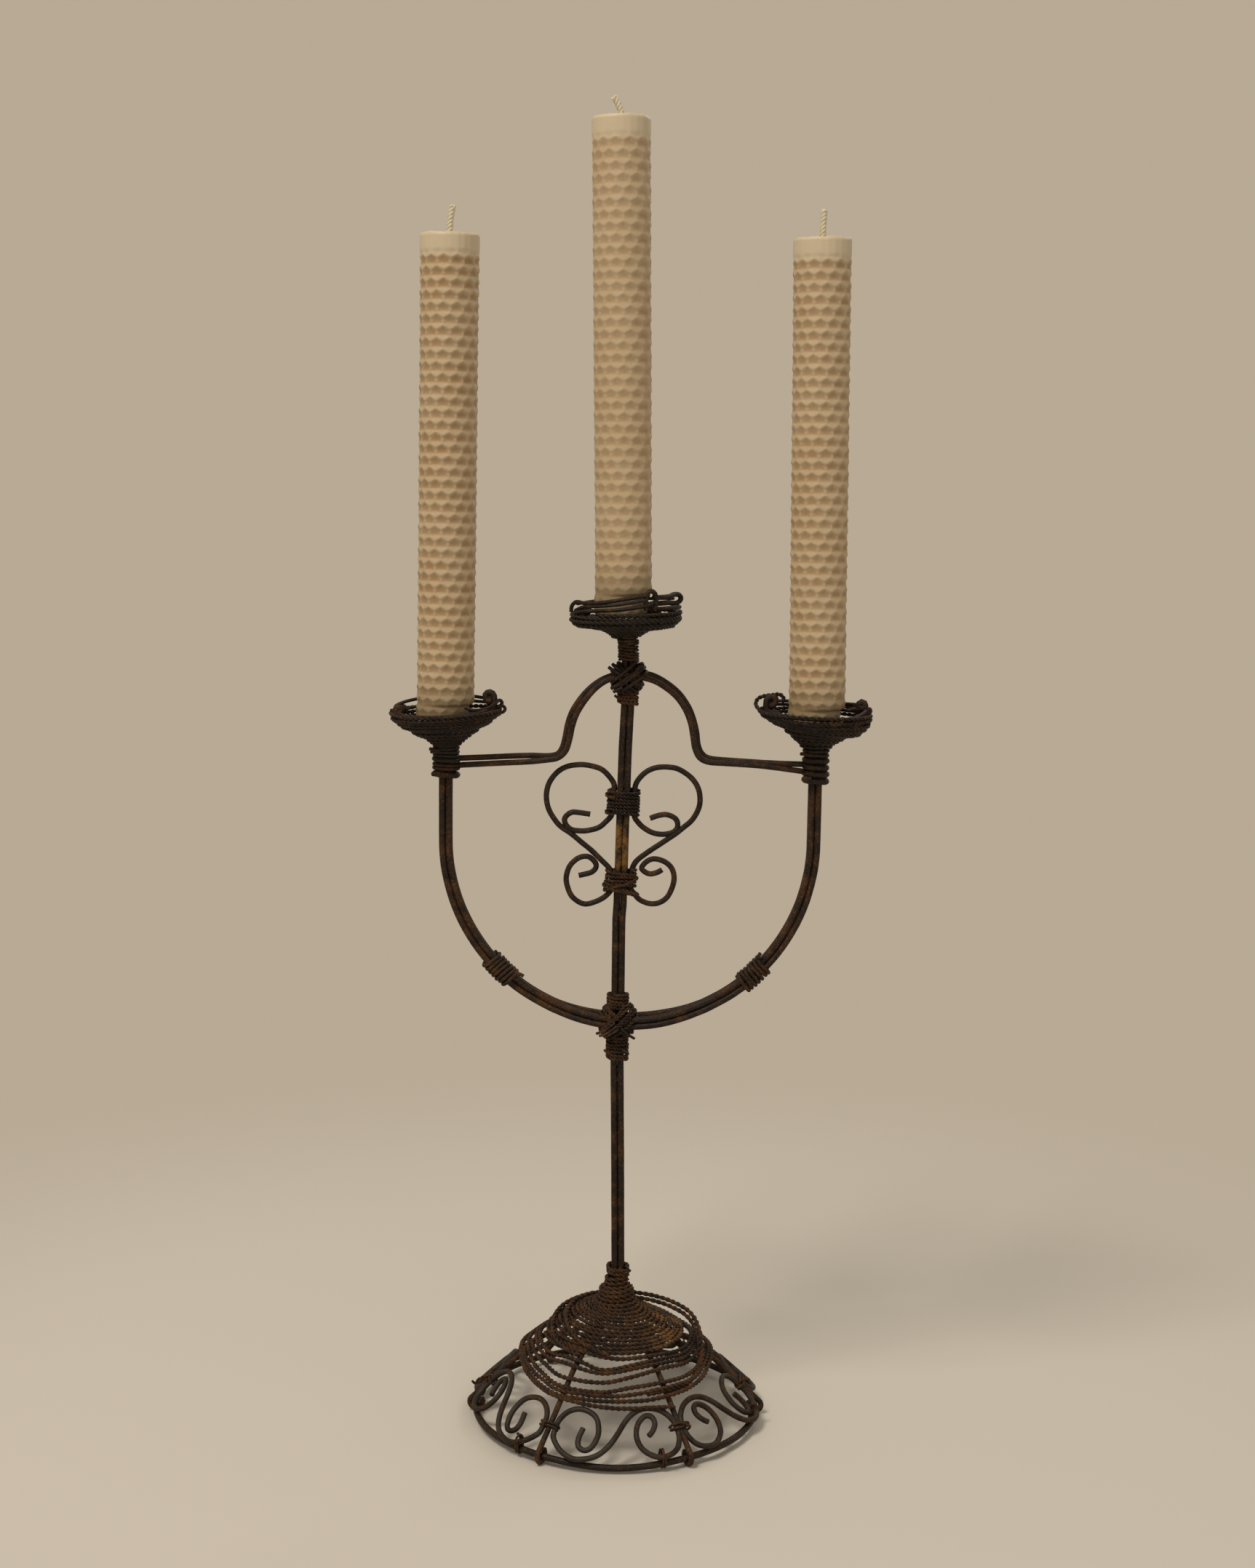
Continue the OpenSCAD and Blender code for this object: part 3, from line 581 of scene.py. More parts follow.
# azimuth and radius over the front of each loose turn; they bunch on the left and fan out to the right
looseTurns = [
    [(186, 31.4), (199, 31.2), (234, 30.6), (259, 30.8), (282, 31.4), (307, 32.2), (329, 32.9), (350, 33.4)],
    [(186, 33.8), (213, 34.6), (231, 34), (246, 34.7), (261, 36.2), (281, 34.4), (304, 34.2), (323, 34.7),
     (350, 34.9)],
    [(186, 35.4), (213, 36.6), (231, 36.6), (246, 37.3), (261, 37.6), (281, 35.9), (304, 35.9), (323, 36.4),
     (350, 36)],
    [(186, 37.2), (217, 39), (233, 41.2), (245, 41.3), (262, 40.6), (280, 38.9), (301, 37.9), (323, 38.2),
     (350, 37.6)],
    [(186, 38.9), (218, 41.7), (234, 44.1), (247, 44.4), (263, 43.7), (279, 42.3), (297, 42.3), (316, 42.1),
     (350, 39.7)],
    [(186, 40.6), (221, 43.6), (237, 45.7), (252, 45.4), (273, 44.6), (289, 44.4), (305, 44.2), (320, 43.6),
     (350, 41.2)],
    [(186, 41.8), (212, 44), (237, 47.2), (252, 46.9), (273, 46.4), (289, 47), (305, 46.6), (320, 45.4), (350, 42.6)],
    [(186, 42.4), (212, 44.6), (235, 47.6), (253, 48.3), (269, 48.6), (283, 49.2), (300, 50.6)],
]


def loosePath(rows):
    flat = []
    for k, row in enumerate(rows):
        flat += [(a + 360 * k, r, 0) for a, r in row]
        if k + 1 < len(rows):
            first, last = row[-1][1], rows[k + 1][0][1]
            flat += [(a + 360 * k, blend(first, last, (a - 350) / 196) - looseLook["tighter"], 0)
                     for a in (395, 450, 505)]
    points = []
    for a, r, _ in smooth(flat):
        sag = (1 + cos(radians(6 * (a - 90)))) / 2
        z = lookup(coat, r) + shoulder(r, a) - sag * looseLook["sagDown"]
        points.append(polar(r - sag * looseLook["sagIn"], a, z))
    return points


for k, (low, high) in enumerate([(0, 3), (3, 5), (5, 8)]):
    mesh = grow("cord", [loosePath(looseTurns[low:high])], rustyCord, radius=looseLook["radius"], step=0.85,
                wander=0.35, lay=looseLook["lay"], seed=31 + k)
    makePiece("looseTurns%d" % (k + 1), [mesh], nodes=["loose_turn_%d" % (k + 1)])

# The end of the coil has sprung clear on the right, as a double strand: radius, azimuth and height of the first
sprungPoints = [
    (9.3, 62, 52.6), (12, 50, 52.2), (18.5, 32, 50.8), (25.5, 17, 49), (32.5, 4, 46.2), (36.6, -6, 41.4),
    (39.2, -16, 34.6), (41.2, -27, 30), (43.6, -42, 27.6), (44.4, -58, 27), (44.6, -72, 26.6),
]
inward, back, down = looseLook["twin"]
sprung = [[polar(r, a, z) for r, a, z in sprungPoints],
          [polar(r - inward, a - back, z - down) for r, a, z in sprungPoints[1:-1]]]
makePiece("sprungWire", [grow("cord", [smooth(line)], rustyCord, radius=looseLook["radius"], step=0.8, wander=0.2,
                              lay=5.2, seed=41 + i) for i, line in enumerate(sprung)])

# One scroll lies on the slope between two legs: angle and radius; its neighbour is its mirror
scrollPoints = [
    (255.7, 54), (254.6, 57.4), (255.3, 59.9), (258.1, 60.9), (260.8, 59.5), (262.8, 55.5), (261.6, 51),
    (257.5, 48.7), (251.4, 48.1), (246.1, 49.8), (243.4, 52.8), (243.1, 56.2), (244, 58.8), (248.6, 62.1),
    (253.9, 63.9), (259.1, 63.5), (263.6, 62), (267.5, 59.2), (270.9, 55.6), (275.1, 51.1), (279.8, 48.4),
    (285.9, 47.4), (292.7, 48.5), (297, 51.3), (298.4, 54.4), (298, 58), (295.8, 61.2), (292.2, 62.9), (287.9, 63.3),
    (284.1, 62.1), (280.9, 59.8), (279.4, 56.2), (280.7, 52.3), (284.6, 49.9), (287.9, 50.3), (288.8, 52.5),
    (287, 54.8), (284.8, 56.2),
]
for k in range(baseSize["legs"]):
    hand = 1 if k % 2 == 0 else -1
    path = smooth([polar(r, 270 + hand * (a - 270) + (60 * k - 240), onSlope(r)) for a, r in scrollPoints], 5)
    mesh = grow("rod", [path], ironPanel, radius=baseSize["scrollWire"], step=0.8, wander=0.12, dents=0.06, seed=50 + k)
    makePiece("scroll%d" % (k + 1), [mesh])


# A free end of wire through a few points
def shortWire(points, seed, radius, kind="rod", material=rustyCord, steps=5, wander=0.08, **more):
    return grow(kind, [smooth(points, steps)], material, radius=radius, sides=8 if kind == "rod" else 6, step=0.4,
                wander=wander, dents=0.1, seed=seed, **more)


# Ties of thin wire hold a scroll to the ring and to its leg, each with a free end
tieLook = {
    "radius": 0.52, "turns": 1.8, "ringRun": 2.2, "ringAngle": 49, "ringHeight": 5.95, "ringEnd": 0.58,
    "legRun": 2.8, "legRadius": 55.0, "legEnd": 0.75,
}


def tie(mid, heading, run, seed, **shape):
    return grow("windRod", [[mid - heading * run / 2, mid + heading * run / 2]], rustyCord, radius=tieLook["radius"],
                step=0.5, turns=tieLook["turns"], slack=0.25, seed=seed, **shape)


ringTies, legTies = [], []
for k in range(baseSize["legs"]):
    a, b = 60 * k + tieLook["ringAngle"], 60 * k
    mid = polar(ringR, a, tieLook["ringHeight"] - ringDrop(a) * 0.5)
    along = polar(1, a + 90)
    ringTies.append(tie(mid, along, tieLook["ringRun"], 60 + k, halfWidth=2, halfDepth=3.9, corners=0.9,
                        face=(0, 0, 1), start=1.6))
    end = mid + polar(2.0, a) + Vector((0, 0, 1.5)) + along * 1.2
    points = [end - polar(1.2, a), end, end + polar(1.6, a + 30, 1.6)]
    ringTies.append(shortWire(points, 70 + k, tieLook["ringEnd"], steps=4, wander=0.1))
    down, out, across = polar(1, b, -slope).normalized(), polar(slope, b, 1).normalized(), polar(1, b + 90)
    mid = polar(tieLook["legRadius"], b, onSlope(tieLook["legRadius"]))
    legTies.append(tie(mid, down, tieLook["legRun"], 80 + k, halfWidth=4.4, halfDepth=1.95, corners=0.7,
                       face=tuple(out), start=0.4 + k))
    tip = mid + out * 2.0 + across * (1.5 if k % 2 else -1.5)
    points = [tip - across, tip + out * 0.8, tip + out * 2.4 + down * 2.2 + across * 0.8]
    legTies.append(shortWire(points, 90 + k, tieLook["legEnd"], "cord", wander=0.1, lay=2.6))
makePiece("ringTies", ringTies)
makePiece("legTies", legTies)

print("base done")


# Stem and arms

stemSize = {
    "rod": 1.44, "rodOff": 1.43, "low": 50, "neck": 345, "step": 12,
    # how far the stem bows to the right at each height
    "bow": [(50, 0.2), (70, 0.3), (110, -0.3), (161, -1.2), (225, -1.2), (230, -0.8), (261, -0.2), (298, 0.6),
            (320, 1.5), (340, 1.5), (346, 1.1), (353, 0.1)],
}
rodOff = stemSize["rodOff"]


def stemBow(z):
    return lookup(stemSize["bow"], z)


# A line along the bowed stem
def stemLine(low, high):
    n = max(2, int((high - low) / 3))
    heights = [blend(low, high, i / n) for i in range(n + 1)]
    return [Vector((stemBow(z), 0, z)) for z in heights]


# Cups: the line of the bowl on the left and on the right, as radius and height over the neck
cups = {
    "Left": {
        "x": -75.7, "z": 299, "seed": 3, "rows": 13,
        "left": [(5.3, 0.4), (7, 1.6), (9.2, 3.3), (12.1, 4.7), (15.1, 6.8), (18.2, 8.1), (21.3, 9.9), (23.2, 11.8),
                 (23.5, 13.7)],
        "right": [(5.5, 0.4), (8.4, 3.4), (11.7, 5.6), (15, 8.9), (18, 10.3), (20.3, 11.9), (22.5, 14.2),
                  (23.2, 16.6)],
    },
    "Right": {
        "x": 82, "z": 299, "seed": 5, "rows": 13,
        "left": [(5.4, 0.2), (6.8, 3), (9.2, 4.9), (11.4, 7.2), (13.9, 9.6), (16.1, 11), (19.5, 12.5), (23, 14.6),
                 (24, 16.8)],
        "right": [(5.6, 0.8), (7.9, 3.3), (12.5, 5.9), (16.6, 6.9), (19.8, 8.5), (21.9, 11), (22.6, 13.4),
                  (22.3, 16)],
    },
    "Centre": {
        "x": 0.2, "z": 346, "seed": 8, "rows": 14,
        "left": [(5.4, 0.2), (6.3, 1.2), (8.7, 2.8), (12.4, 4.2), (17, 4.9), (20.8, 5.2), (22.7, 6.6), (23, 8.4),
                 (23, 10.2)],
        "right": [(5.4, 0.2), (6.3, 1.2), (8.7, 2.8), (12, 4.2), (17, 5.2), (20.6, 5.6), (22.2, 7.4), (22.4, 9.4),
                  (22.2, 11.6)],
    },
}
for cup in cups.values():
    cup["lines"] = measured(cup["left"]), measured(cup["right"])


# A point of a cup at a share of its line; inward moves it off the line into the bowl
def cupSpot(cup, share, azimuth, inward):
    weight = (1 + cos(radians(azimuth))) / 2
    spots = []
    for s in (share - 0.01, share + 0.01):
        (r0, z0), (r1, z1) = [(lookup(radii, s * run), lookup(heights, s * run))
                              for radii, heights, run in cup["lines"]]
        spots.append(Vector((blend(r0, r1, weight), blend(z0, z1, weight))))
    heading = (spots[1] - spots[0]).normalized()
    return (spots[0] + spots[1]) / 2 + inward * Vector((-heading.y, heading.x))


# Ribs of each cup, one from each rod: azimuth at the rim, stalk and radius of the curl, in the order of corners
corners = [(1, 1), (-1, 1), (-1, -1), (1, -1)]
ribs = {
    "Left": [(20, 2.2, 1.3), (166, 1.2, 1.3), (188, 1.6, 1.15), (350, 4.7, 1.9)],
    "Right": [(18, 2.2, 1.3), (158, 3.2, 1.7), (186, 3.6, 1.9), (352, 4.6, 1.35)],
    "Centre": [(60, 1.0, 1.3), (150, 1.0, 1.3), (197, 0.8, 1.3), (312, 0.9, 1.3)],
}
ribLook = {"reach": 0.97, "inward": 2.25, "curlPoints": 14}


# A rib rises from its rod along the inside of the bowl, stands up by its stalk and ends in a tight curl
def ribPath(name, k):
    cup, (end, stalk, curl) = cups[name], ribs[name][k]
    start, neck = 45 + 90 * k, rodOff * sqrt(2)
    flat = [(neck, -1.0, 0.0), (neck + 0.1, 0.6, 0.0)]
    for i in range(1, 10):
        share = ribLook["reach"] * i / 9
        spot = cupSpot(cup, share, end, ribLook["inward"])
        own = ease(share / 0.3)
        high = max(blend(share * 12, spot.y, own), flat[-1][1] + 0.15)
        flat.append((blend(neck, spot.x, own), high, ease(share / 0.5)))
    out, high, _ = flat[-1]
    if stalk > 2:
        flat.append((out + 0.3, high + stalk * 0.5, 1))
    middle = Vector((out - curl + 0.2, high + stalk))
    for i in range(ribLook["curlPoints"]):
        t = radians(-10 + 24 * i)
        flat.append((middle.x + curl * cos(t), middle.y + curl * sin(t), 1))
    if end - start > 180:
        end -= 360
    if start - end > 180:
        end += 360
    return [polar(r, blend(start, end, turned), cup["z"] + h) for r, h, turned in flat]


for k, (cx, cy) in enumerate(corners):
    path = [(cx * rodOff, cy * rodOff, z) for z in range(stemSize["low"], stemSize["neck"], stemSize["step"])]
    path = [Vector((x + stemBow(z), y, z)) for x, y, z in smooth(path + ribPath("Centre", k), 4)]
    mesh = grow("rod", [path], ironStem, radius=stemSize["rod"], step=1.2, wander=0.1, seed=100 + k)
    makePiece("stemRod%d" % (k + 1), [mesh])

armSize = {
    "radius": 79.0, "lowZ": 179.0, "shift": 3.0, "spreadY": 4.35, "wide": 7.0, "narrow": 26.0,
    "angles": (2, 5, 7, 10, 14, 18, 22, 26, 33, 40, 48, 56, 64, 72, 80, 86, 90), "upright": (268, 280, 292),
}
armR, armZ = armSize["radius"], armSize["lowZ"] + armSize["radius"]


# Half an arm rod, from the crossing to the end of its rib; the rods spread apart where they pass the stem
def armHalf(name, cx, cy, sign):
    r, path = armR + cx * sign * rodOff, []
    for a in armSize["angles"]:
        wide = 1 - ease((a - armSize["wide"]) / (armSize["narrow"] - armSize["wide"]))
        t = radians(a)
        path.append(Vector((sign * r * sin(t), cy * blend(rodOff, armSize["spreadY"], wide), armZ - r * cos(t))))
    path += [Vector((sign * armR + cx * rodOff, cy * rodOff, z)) for z in armSize["upright"]]
    return path + [p + Vector((sign * armR, 0, 0)) for p in ribPath(name, corners.index((cx, cy)))]


for k, (cx, cy) in enumerate(corners):
    # an arm rod that lies inside on one side lies outside on the other
    path = smooth(armHalf("Left", -cx, cy, -1)[::-1] + armHalf("Right", cx, cy, 1), 3)
    path = [p + Vector((armSize["shift"], 0, 0)) for p in path]
    mesh = grow("rod", [path], ironArm, radius=stemSize["rod"], step=1.2, wander=0.1, seed=110 + k)
    makePiece("armRod%d" % (k + 1), [mesh])

print("stem and arms done")


# Heart

heartSize = {"wire": 1.2, "wrapCorners": 0.75, "upper": (269.6, 280.6), "lower": (238.4, 246.0), "tailHeight": 238}
# each side from the end of its curl, round the lobe, to the end of its tail
hearts = {
    "Left": [
        (-14, 269.8), (-19.2, 270.5), (-22.3, 270.4), (-24.9, 268.1), (-24.6, 265.4), (-22.2, 263.1), (-18.6, 262.5),
        (-15, 262.7), (-10.3, 264.1), (-7.3, 266.7), (-5, 269.4), (-4.3, 273), (-4.3, 278), (-3.9, 282.5),
        (-6, 286.1), (-9.6, 289.4), (-14.8, 290.9), (-18.9, 291.2), (-24.1, 290.3), (-28.2, 287.9), (-31.5, 283.7),
        (-32.8, 279.5), (-32.8, 275.3), (-31.6, 271.1), (-29, 266.9), (-26.4, 264.1), (-22.2, 261.3), (-17.5, 257.4),
        (-13.3, 254), (-9.1, 249.9), (-5.7, 246.5), (-4.6, 243.5), (-4.6, 238), (-6.1, 235), (-10, 232.2),
        (-15.2, 230.5), (-18.8, 231.5), (-22, 234.4), (-23.8, 239.1), (-24, 242.8), (-22.6, 247.1), (-19.5, 250.3),
        (-16.4, 251.4), (-13.8, 250.9), (-11.5, 248.5), (-11.4, 246.4), (-13.2, 244.5), (-15.8, 243.7), (-18.7, 243),
    ],
    "Right": [
        (11.6, 268.3), (15.5, 269.7), (19.1, 270), (22.7, 268.2), (23.5, 265), (21.8, 262.6), (17.7, 261.5),
        (13, 262), (8.8, 264.3), (6.2, 266.9), (4.9, 269), (4.5, 273), (4.6, 278), (5.2, 282.6), (6.9, 285.7),
        (10, 288.6), (14.1, 290.3), (19.3, 290.6), (23.9, 289.6), (29.1, 286), (32.1, 281.4), (32.9, 276.2),
        (32, 272), (29.5, 267.7), (25.9, 264.5), (22.8, 261.9), (16.7, 257.6), (10.5, 253.3), (5.9, 249.5),
        (4, 245.5), (3.6, 243), (3.6, 238), (5.3, 235.3), (7.7, 232.7), (11.9, 231.1), (16, 231.5), (19.6, 234.1),
        (21.9, 239.2), (22.3, 243.4), (21, 247.1), (17.8, 249.7), (13.7, 250.7), (10.6, 249.6), (8.3, 246.9),
        (9.1, 245.4), (11.7, 244.1), (14.8, 244.7), (17.1, 246),
    ],
}
for i, (name, line) in enumerate(hearts.items()):
    mesh = grow("rod", [smooth([(x, 0, z) for x, z in line], 5)], ironScroll, radius=heartSize["wire"], step=0.9,
                wander=0.1, dents=0.06, seed=120 + i)
    makePiece("heartWire" + name, [mesh])

upper = [grow("windCord", [stemLine(*heartSize["upper"])], rustyCup, radius=0.84, step=0.45, turns=7.4, halfWidth=6.4,
              halfDepth=3.7, corners=heartSize["wrapCorners"], start=0.5, slack=0.3, lay=3.4, seed=130)]
for i, z in enumerate((270.2, 272.4, 277.6, 279.8)):
    x = stemBow(z) - 6.2
    end = [(x + 2.5, -3.9, z), (x + 0.2, -3.6, z + 0.3), (x - 1.4, -2.6 + i * 0.4, z + (-1) ** i * 0.8)]
    upper.append(shortWire(end, 131 + i, 0.5))
makePiece("heartBindingUpper", upper)

lower = [grow("windCord", [stemLine(*heartSize["lower"])], rustyCord, radius=0.78, step=0.45, turns=4.6, halfWidth=6.2,
              halfDepth=3.7, corners=heartSize["wrapCorners"], start=0.2, slack=0.3, lay=3.4, seed=140)]
# three slanting turns below it, each with its height on the left and on the right
for i, (left, right) in enumerate(((240.6, 235.2), (237.0, 242.2), (239.2, 234.8))):
    ring = roundTurn(6.6 + 0.4 * i, 4.6 + 0.5 * i, lambda c, s: blend(left, right, (1 + c) / 2), 0.75, 0.75)
    ring = [p + Vector((stemBow(heartSize["tailHeight"]), 0, 0)) for p in ring]
    lower.append(grow("cord", [ring], rustyCord, radius=0.78, step=0.45, wander=0.2, lay=3.4, seed=141 + i))
lower.append(shortWire([(3.4, -5.2, 237), (5.6, -5.4, 236), (7.4, -5, 234.6)], 145, 0.7, "cord", lay=2.6))
makePiece("heartBindingLower", lower)

print("heart done")


# Arch

archSize = {"rod": 1.25, "depth": 4.2, "middle": 3, "level": 8, "taper": 62}
arches = {
    "Rear": (1, [
        (-71.9, 293.2), (-54.9, 294), (-40.6, 294.6), (-32.2, 294.5), (-28.1, 295.5), (-26.1, 298.7), (-25.1, 302.7),
        (-24, 308.6), (-21.8, 314.6), (-17.2, 321.2), (-12, 326), (-6.1, 329), (1.5, 330.6), (8.6, 330.3),
        (14.9, 328.2), (22.3, 323), (27.1, 316.7), (29.6, 310.8), (31, 305.1), (31.6, 300.3), (33.2, 296.6),
        (36.4, 294.4), (43.6, 293.7), (56.5, 293.1), (66.5, 292.7), (78.5, 292.6),
    ]),
    "Front": (-1, [
        (-71.9, 290.2), (-54.9, 291.4), (-40.6, 292.4), (-32.4, 293.4), (-28, 294.4), (-24.8, 297.4), (-23.2, 302.3),
        (-22, 308.1), (-20, 313.8), (-16.1, 320.1), (-11.5, 325.2), (-6.1, 328.5), (1.5, 330.1), (8.2, 329.1),
        (14.4, 327), (21.4, 321.9), (25.8, 316), (28.2, 310.3), (29.4, 304.4), (30.3, 299.2), (32.4, 295.2),
        (36.3, 293.3), (43.6, 292.8), (56.5, 292), (66.5, 290.9), (78.5, 289.3),
    ]),
}
for name, (side, line) in arches.items():
    path = []
    for x, z in line:
        far = min(1, max(0, (abs(x - archSize["middle"]) - archSize["level"]) / archSize["taper"]))
        path.append((x, side * archSize["depth"] * (1 - far), z))
    mesh = grow("rod", [smooth(path, 5)], ironArm, radius=archSize["rod"], step=1.2, wander=0.08, seed=150 + side)
    makePiece("archRod" + name, [mesh])

# Crossed turns over a joint: slant, shift along the slanted normal, extra depth and half length; then the free ends
crossTurns = [
    (38, -3.1, 0.2, 8.2), (41, -1.6, 0.5, 8.6), (44, 0, 0.7, 8.8), (40, 1.7, 0.5, 8.4), (46, 3.2, 0.2, 7.6),
    (-42, -2.2, -0.6, 7.8), (-47, -0.7, -0.4, 8), (-44, 0.9, -0.4, 8), (-40, 2.4, -0.6, 7.6), (74, -4.3, -0.9, 5.6),
    (78, 4.4, -0.9, 5.6),
]
crossEnds = [
    [(-2.4, -7.4, 180), (-6.4, -7.6, 176.6), (-10.3, -6.8, 174.9)],
    [(-1.6, -7.6, 178.4), (-5.6, -7.9, 175.4), (-9, -7.2, 174)],
    [(-0.8, -7.6, 177), (-3.6, -7.9, 175.2), (-6.6, -7.4, 173.4)],
    [(0.4, -7.4, 177.6), (3.6, -7.8, 174.8), (6.2, -7, 173)],
    [(0.8, -5.6, 167.6), (2.6, -5.6, 166.6), (3.6, -4.8, 165.6)],
]
archTurns = [
    (36, -2.9, 0.3, 7.4), (38, -1.2, 0.7, 7.8), (37, 0.6, 0.8, 7.9), (41, 2.4, 0.5, 7.2), (-38, -2.4, -0.6, 7),
    (-42, -0.6, -0.4, 7.2), (-40, 1.3, -0.5, 7), (80, -3.6, -0.8, 4.6), (84, 3.7, -0.8, 4.6),
]
archEnds = [
    [(-2, -6.6, 330.8), (-4.8, -6.9, 332.4), (-6.8, -5.8, 333.6)],
    [(-2, -6.2, 332.2), (-4, -6.6, 333.8), (-5.2, -5.6, 335)],
    [(4.6, -7, 332.6), (6.4, -6.9, 334), (7.8, -6.2, 334.9)],
    [(-1.6, -6.2, 326.8), (-4, -6.6, 325.6), (-5.6, -5.8, 324.6)],
    [(-1, -6, 325.2), (-3, -6.4, 324.2), (-4.6, -5.6, 323.2)],
    [(3.4, -6.2, 327.8), (5.8, -6.4, 326.4), (7, -5.6, 324.8)],
]


# Lashes the rods that cross the stem at a height; depth is how far a turn stands from the middle, to the front
# and to the back
def lash(name, kind, material, turns, ends, height, depth, twist, endWire, seed, **look):
    meshes = []
    for i, (slant, shift, out, length) in enumerate(turns):
        tilt = Matrix.Rotation(radians(-slant), 3, "Y")
        ring = roundTurn(length, depth + out, lambda c, s: shift + twist * (-1) ** i * s, 0.85, 0.7, 10)
        ring = [tilt @ p + Vector((stemBow(height), 0, height)) for p in ring]
        meshes.append(grow(kind, [ring], material, seed=seed + i, **look))
    for i, line in enumerate(ends):
        meshes.append(shortWire(line, seed + 10 + i, endWire, material=material))
    makePiece(name, meshes)


lash("crossingLashing", "cord", rustyCord, crossTurns, crossEnds, height=179.2, depth=6.7, twist=0.5, endWire=0.62,
     seed=160, radius=0.84, step=0.45, wander=0.3, lay=3.6)

# Wraps round the stem: low end, high end, turns, half width and wire
wraps = {
    "crossingWrapUpper": (184.4, 191.3, 4.8, 4.2, 0.8),
    "crossingWrapLower": (162.0, 173.4, 7.2, 4.3, 0.84),
    "stemCollar": (64.9, 68.4, 2.3, 4.2, 1.0),
    "archWrap": (317.8, 325.4, 5.4, 3.9, 0.8),
}
for i, (name, (low, high, turns, half, radius)) in enumerate(wraps.items()):
    coil = grow("windCord", [stemLine(low, high)], rustyCord, radius=radius, step=0.45, turns=turns, halfWidth=half,
                halfDepth=half, corners=0.72, start=0.9 * i, slack=0.35, slant=0.2, lay=3.6, seed=180 + i)
    z = blend(low, high, 0.3)
    x, side = stemBow(z), -1 if i % 2 else 1
    end = [(x + side * 2.6, -3.9, z), (x + side * 4.2, -4.2, z + 0.4), (x + side * 5.6, -3.4, z + 1.4)]
    makePiece(name, [coil, shortWire(end, 190 + i, 0.6)])

lash("archLashing", "rod", rustyCup, archTurns, archEnds, height=329.4, depth=6.1, twist=0.4, endWire=0.76,
     seed=200, radius=0.78, sides=8, step=0.5, wander=0.22, dents=0.08)


# A point on an arm at an angle from straight down, moved outward and in y
def onArm(angle, outward=0.0, y=0.0):
    r, t = armR + outward, radians(angle)
    return Vector((armSize["shift"] + r * sin(t), y, armZ - r * cos(t)))


# Square hugging bindings on the arms, half of the length given in degrees
armWrap = {
    "half": 4.7, "wire": 0.86, "turns": 7, "endWire": 0.8,
    # the free end: share of the half length from the middle, distance outward, and y
    "end": [(0.9, -3.4, -3), (1.2, -4.6, -3.4), (1.5, -4.9, -3.6)],
}
for name, middle, seed in (("Left", -44.4, 220), ("Right", 43.3, 230)):
    half = armWrap["half"]
    guide = [onArm(middle + blend(-half, half, i / 8)) for i in range(9)]
    coil = grow("windRod", [guide], rustyCord, radius=armWrap["wire"], sides=10, step=0.55, turns=armWrap["turns"],
                halfWidth=4, halfDepth=3.8, corners=0.6, start=0.8, slack=0.35, seed=seed)
    end = [onArm(middle + half * share, outward, y) for share, outward, y in armWrap["end"]]
    makePiece("armBinding" + name, [coil, shortWire(end, seed + 1, armWrap["endWire"])])

print("bindings done")


# Cups

cupLook = {"cord": 0.96, "lay": 5.4, "wobble": 0.6, "lift": 0.7}


# The coil of a cup, wound from the neck outward, with turns that wander a little up, down and outward
def bowlPath(cup):
    rng = random.Random(cup["seed"])
    count = cup["rows"] * 30
    slide = [rng.uniform(-1, 1) for _ in range(80)]
    lift = [rng.uniform(-0.4, 1) for _ in range(80)]
    points = []
    for i in range(count + 1):
        k, part, azimuth = i // 11, ease((i % 11) / 11), 30 * cup["seed"] - 12 * i
        amount = ease(i / count * 2)
        share = i / count + amount * cupLook["wobble"] / 24 * blend(slide[k], slide[k + 1], part)
        out = -amount * cupLook["lift"] * blend(lift[k], lift[k + 1], part)
        spot = cupSpot(cup, min(1, share), azimuth, out)
        p = polar(spot.x, azimuth)
        points.append(Vector((cup["x"] + p.x, p.y, cup["z"] + spot.y)))
    return points


for name, cup in cups.items():
    mesh = grow("cord", [bowlPath(cup)], rustyCup, radius=cupLook["cord"], step=0.8, wander=0.18, lay=cupLook["lay"],
                seed=240 + cup["seed"])
    makePiece("cupCoil" + name, [mesh])

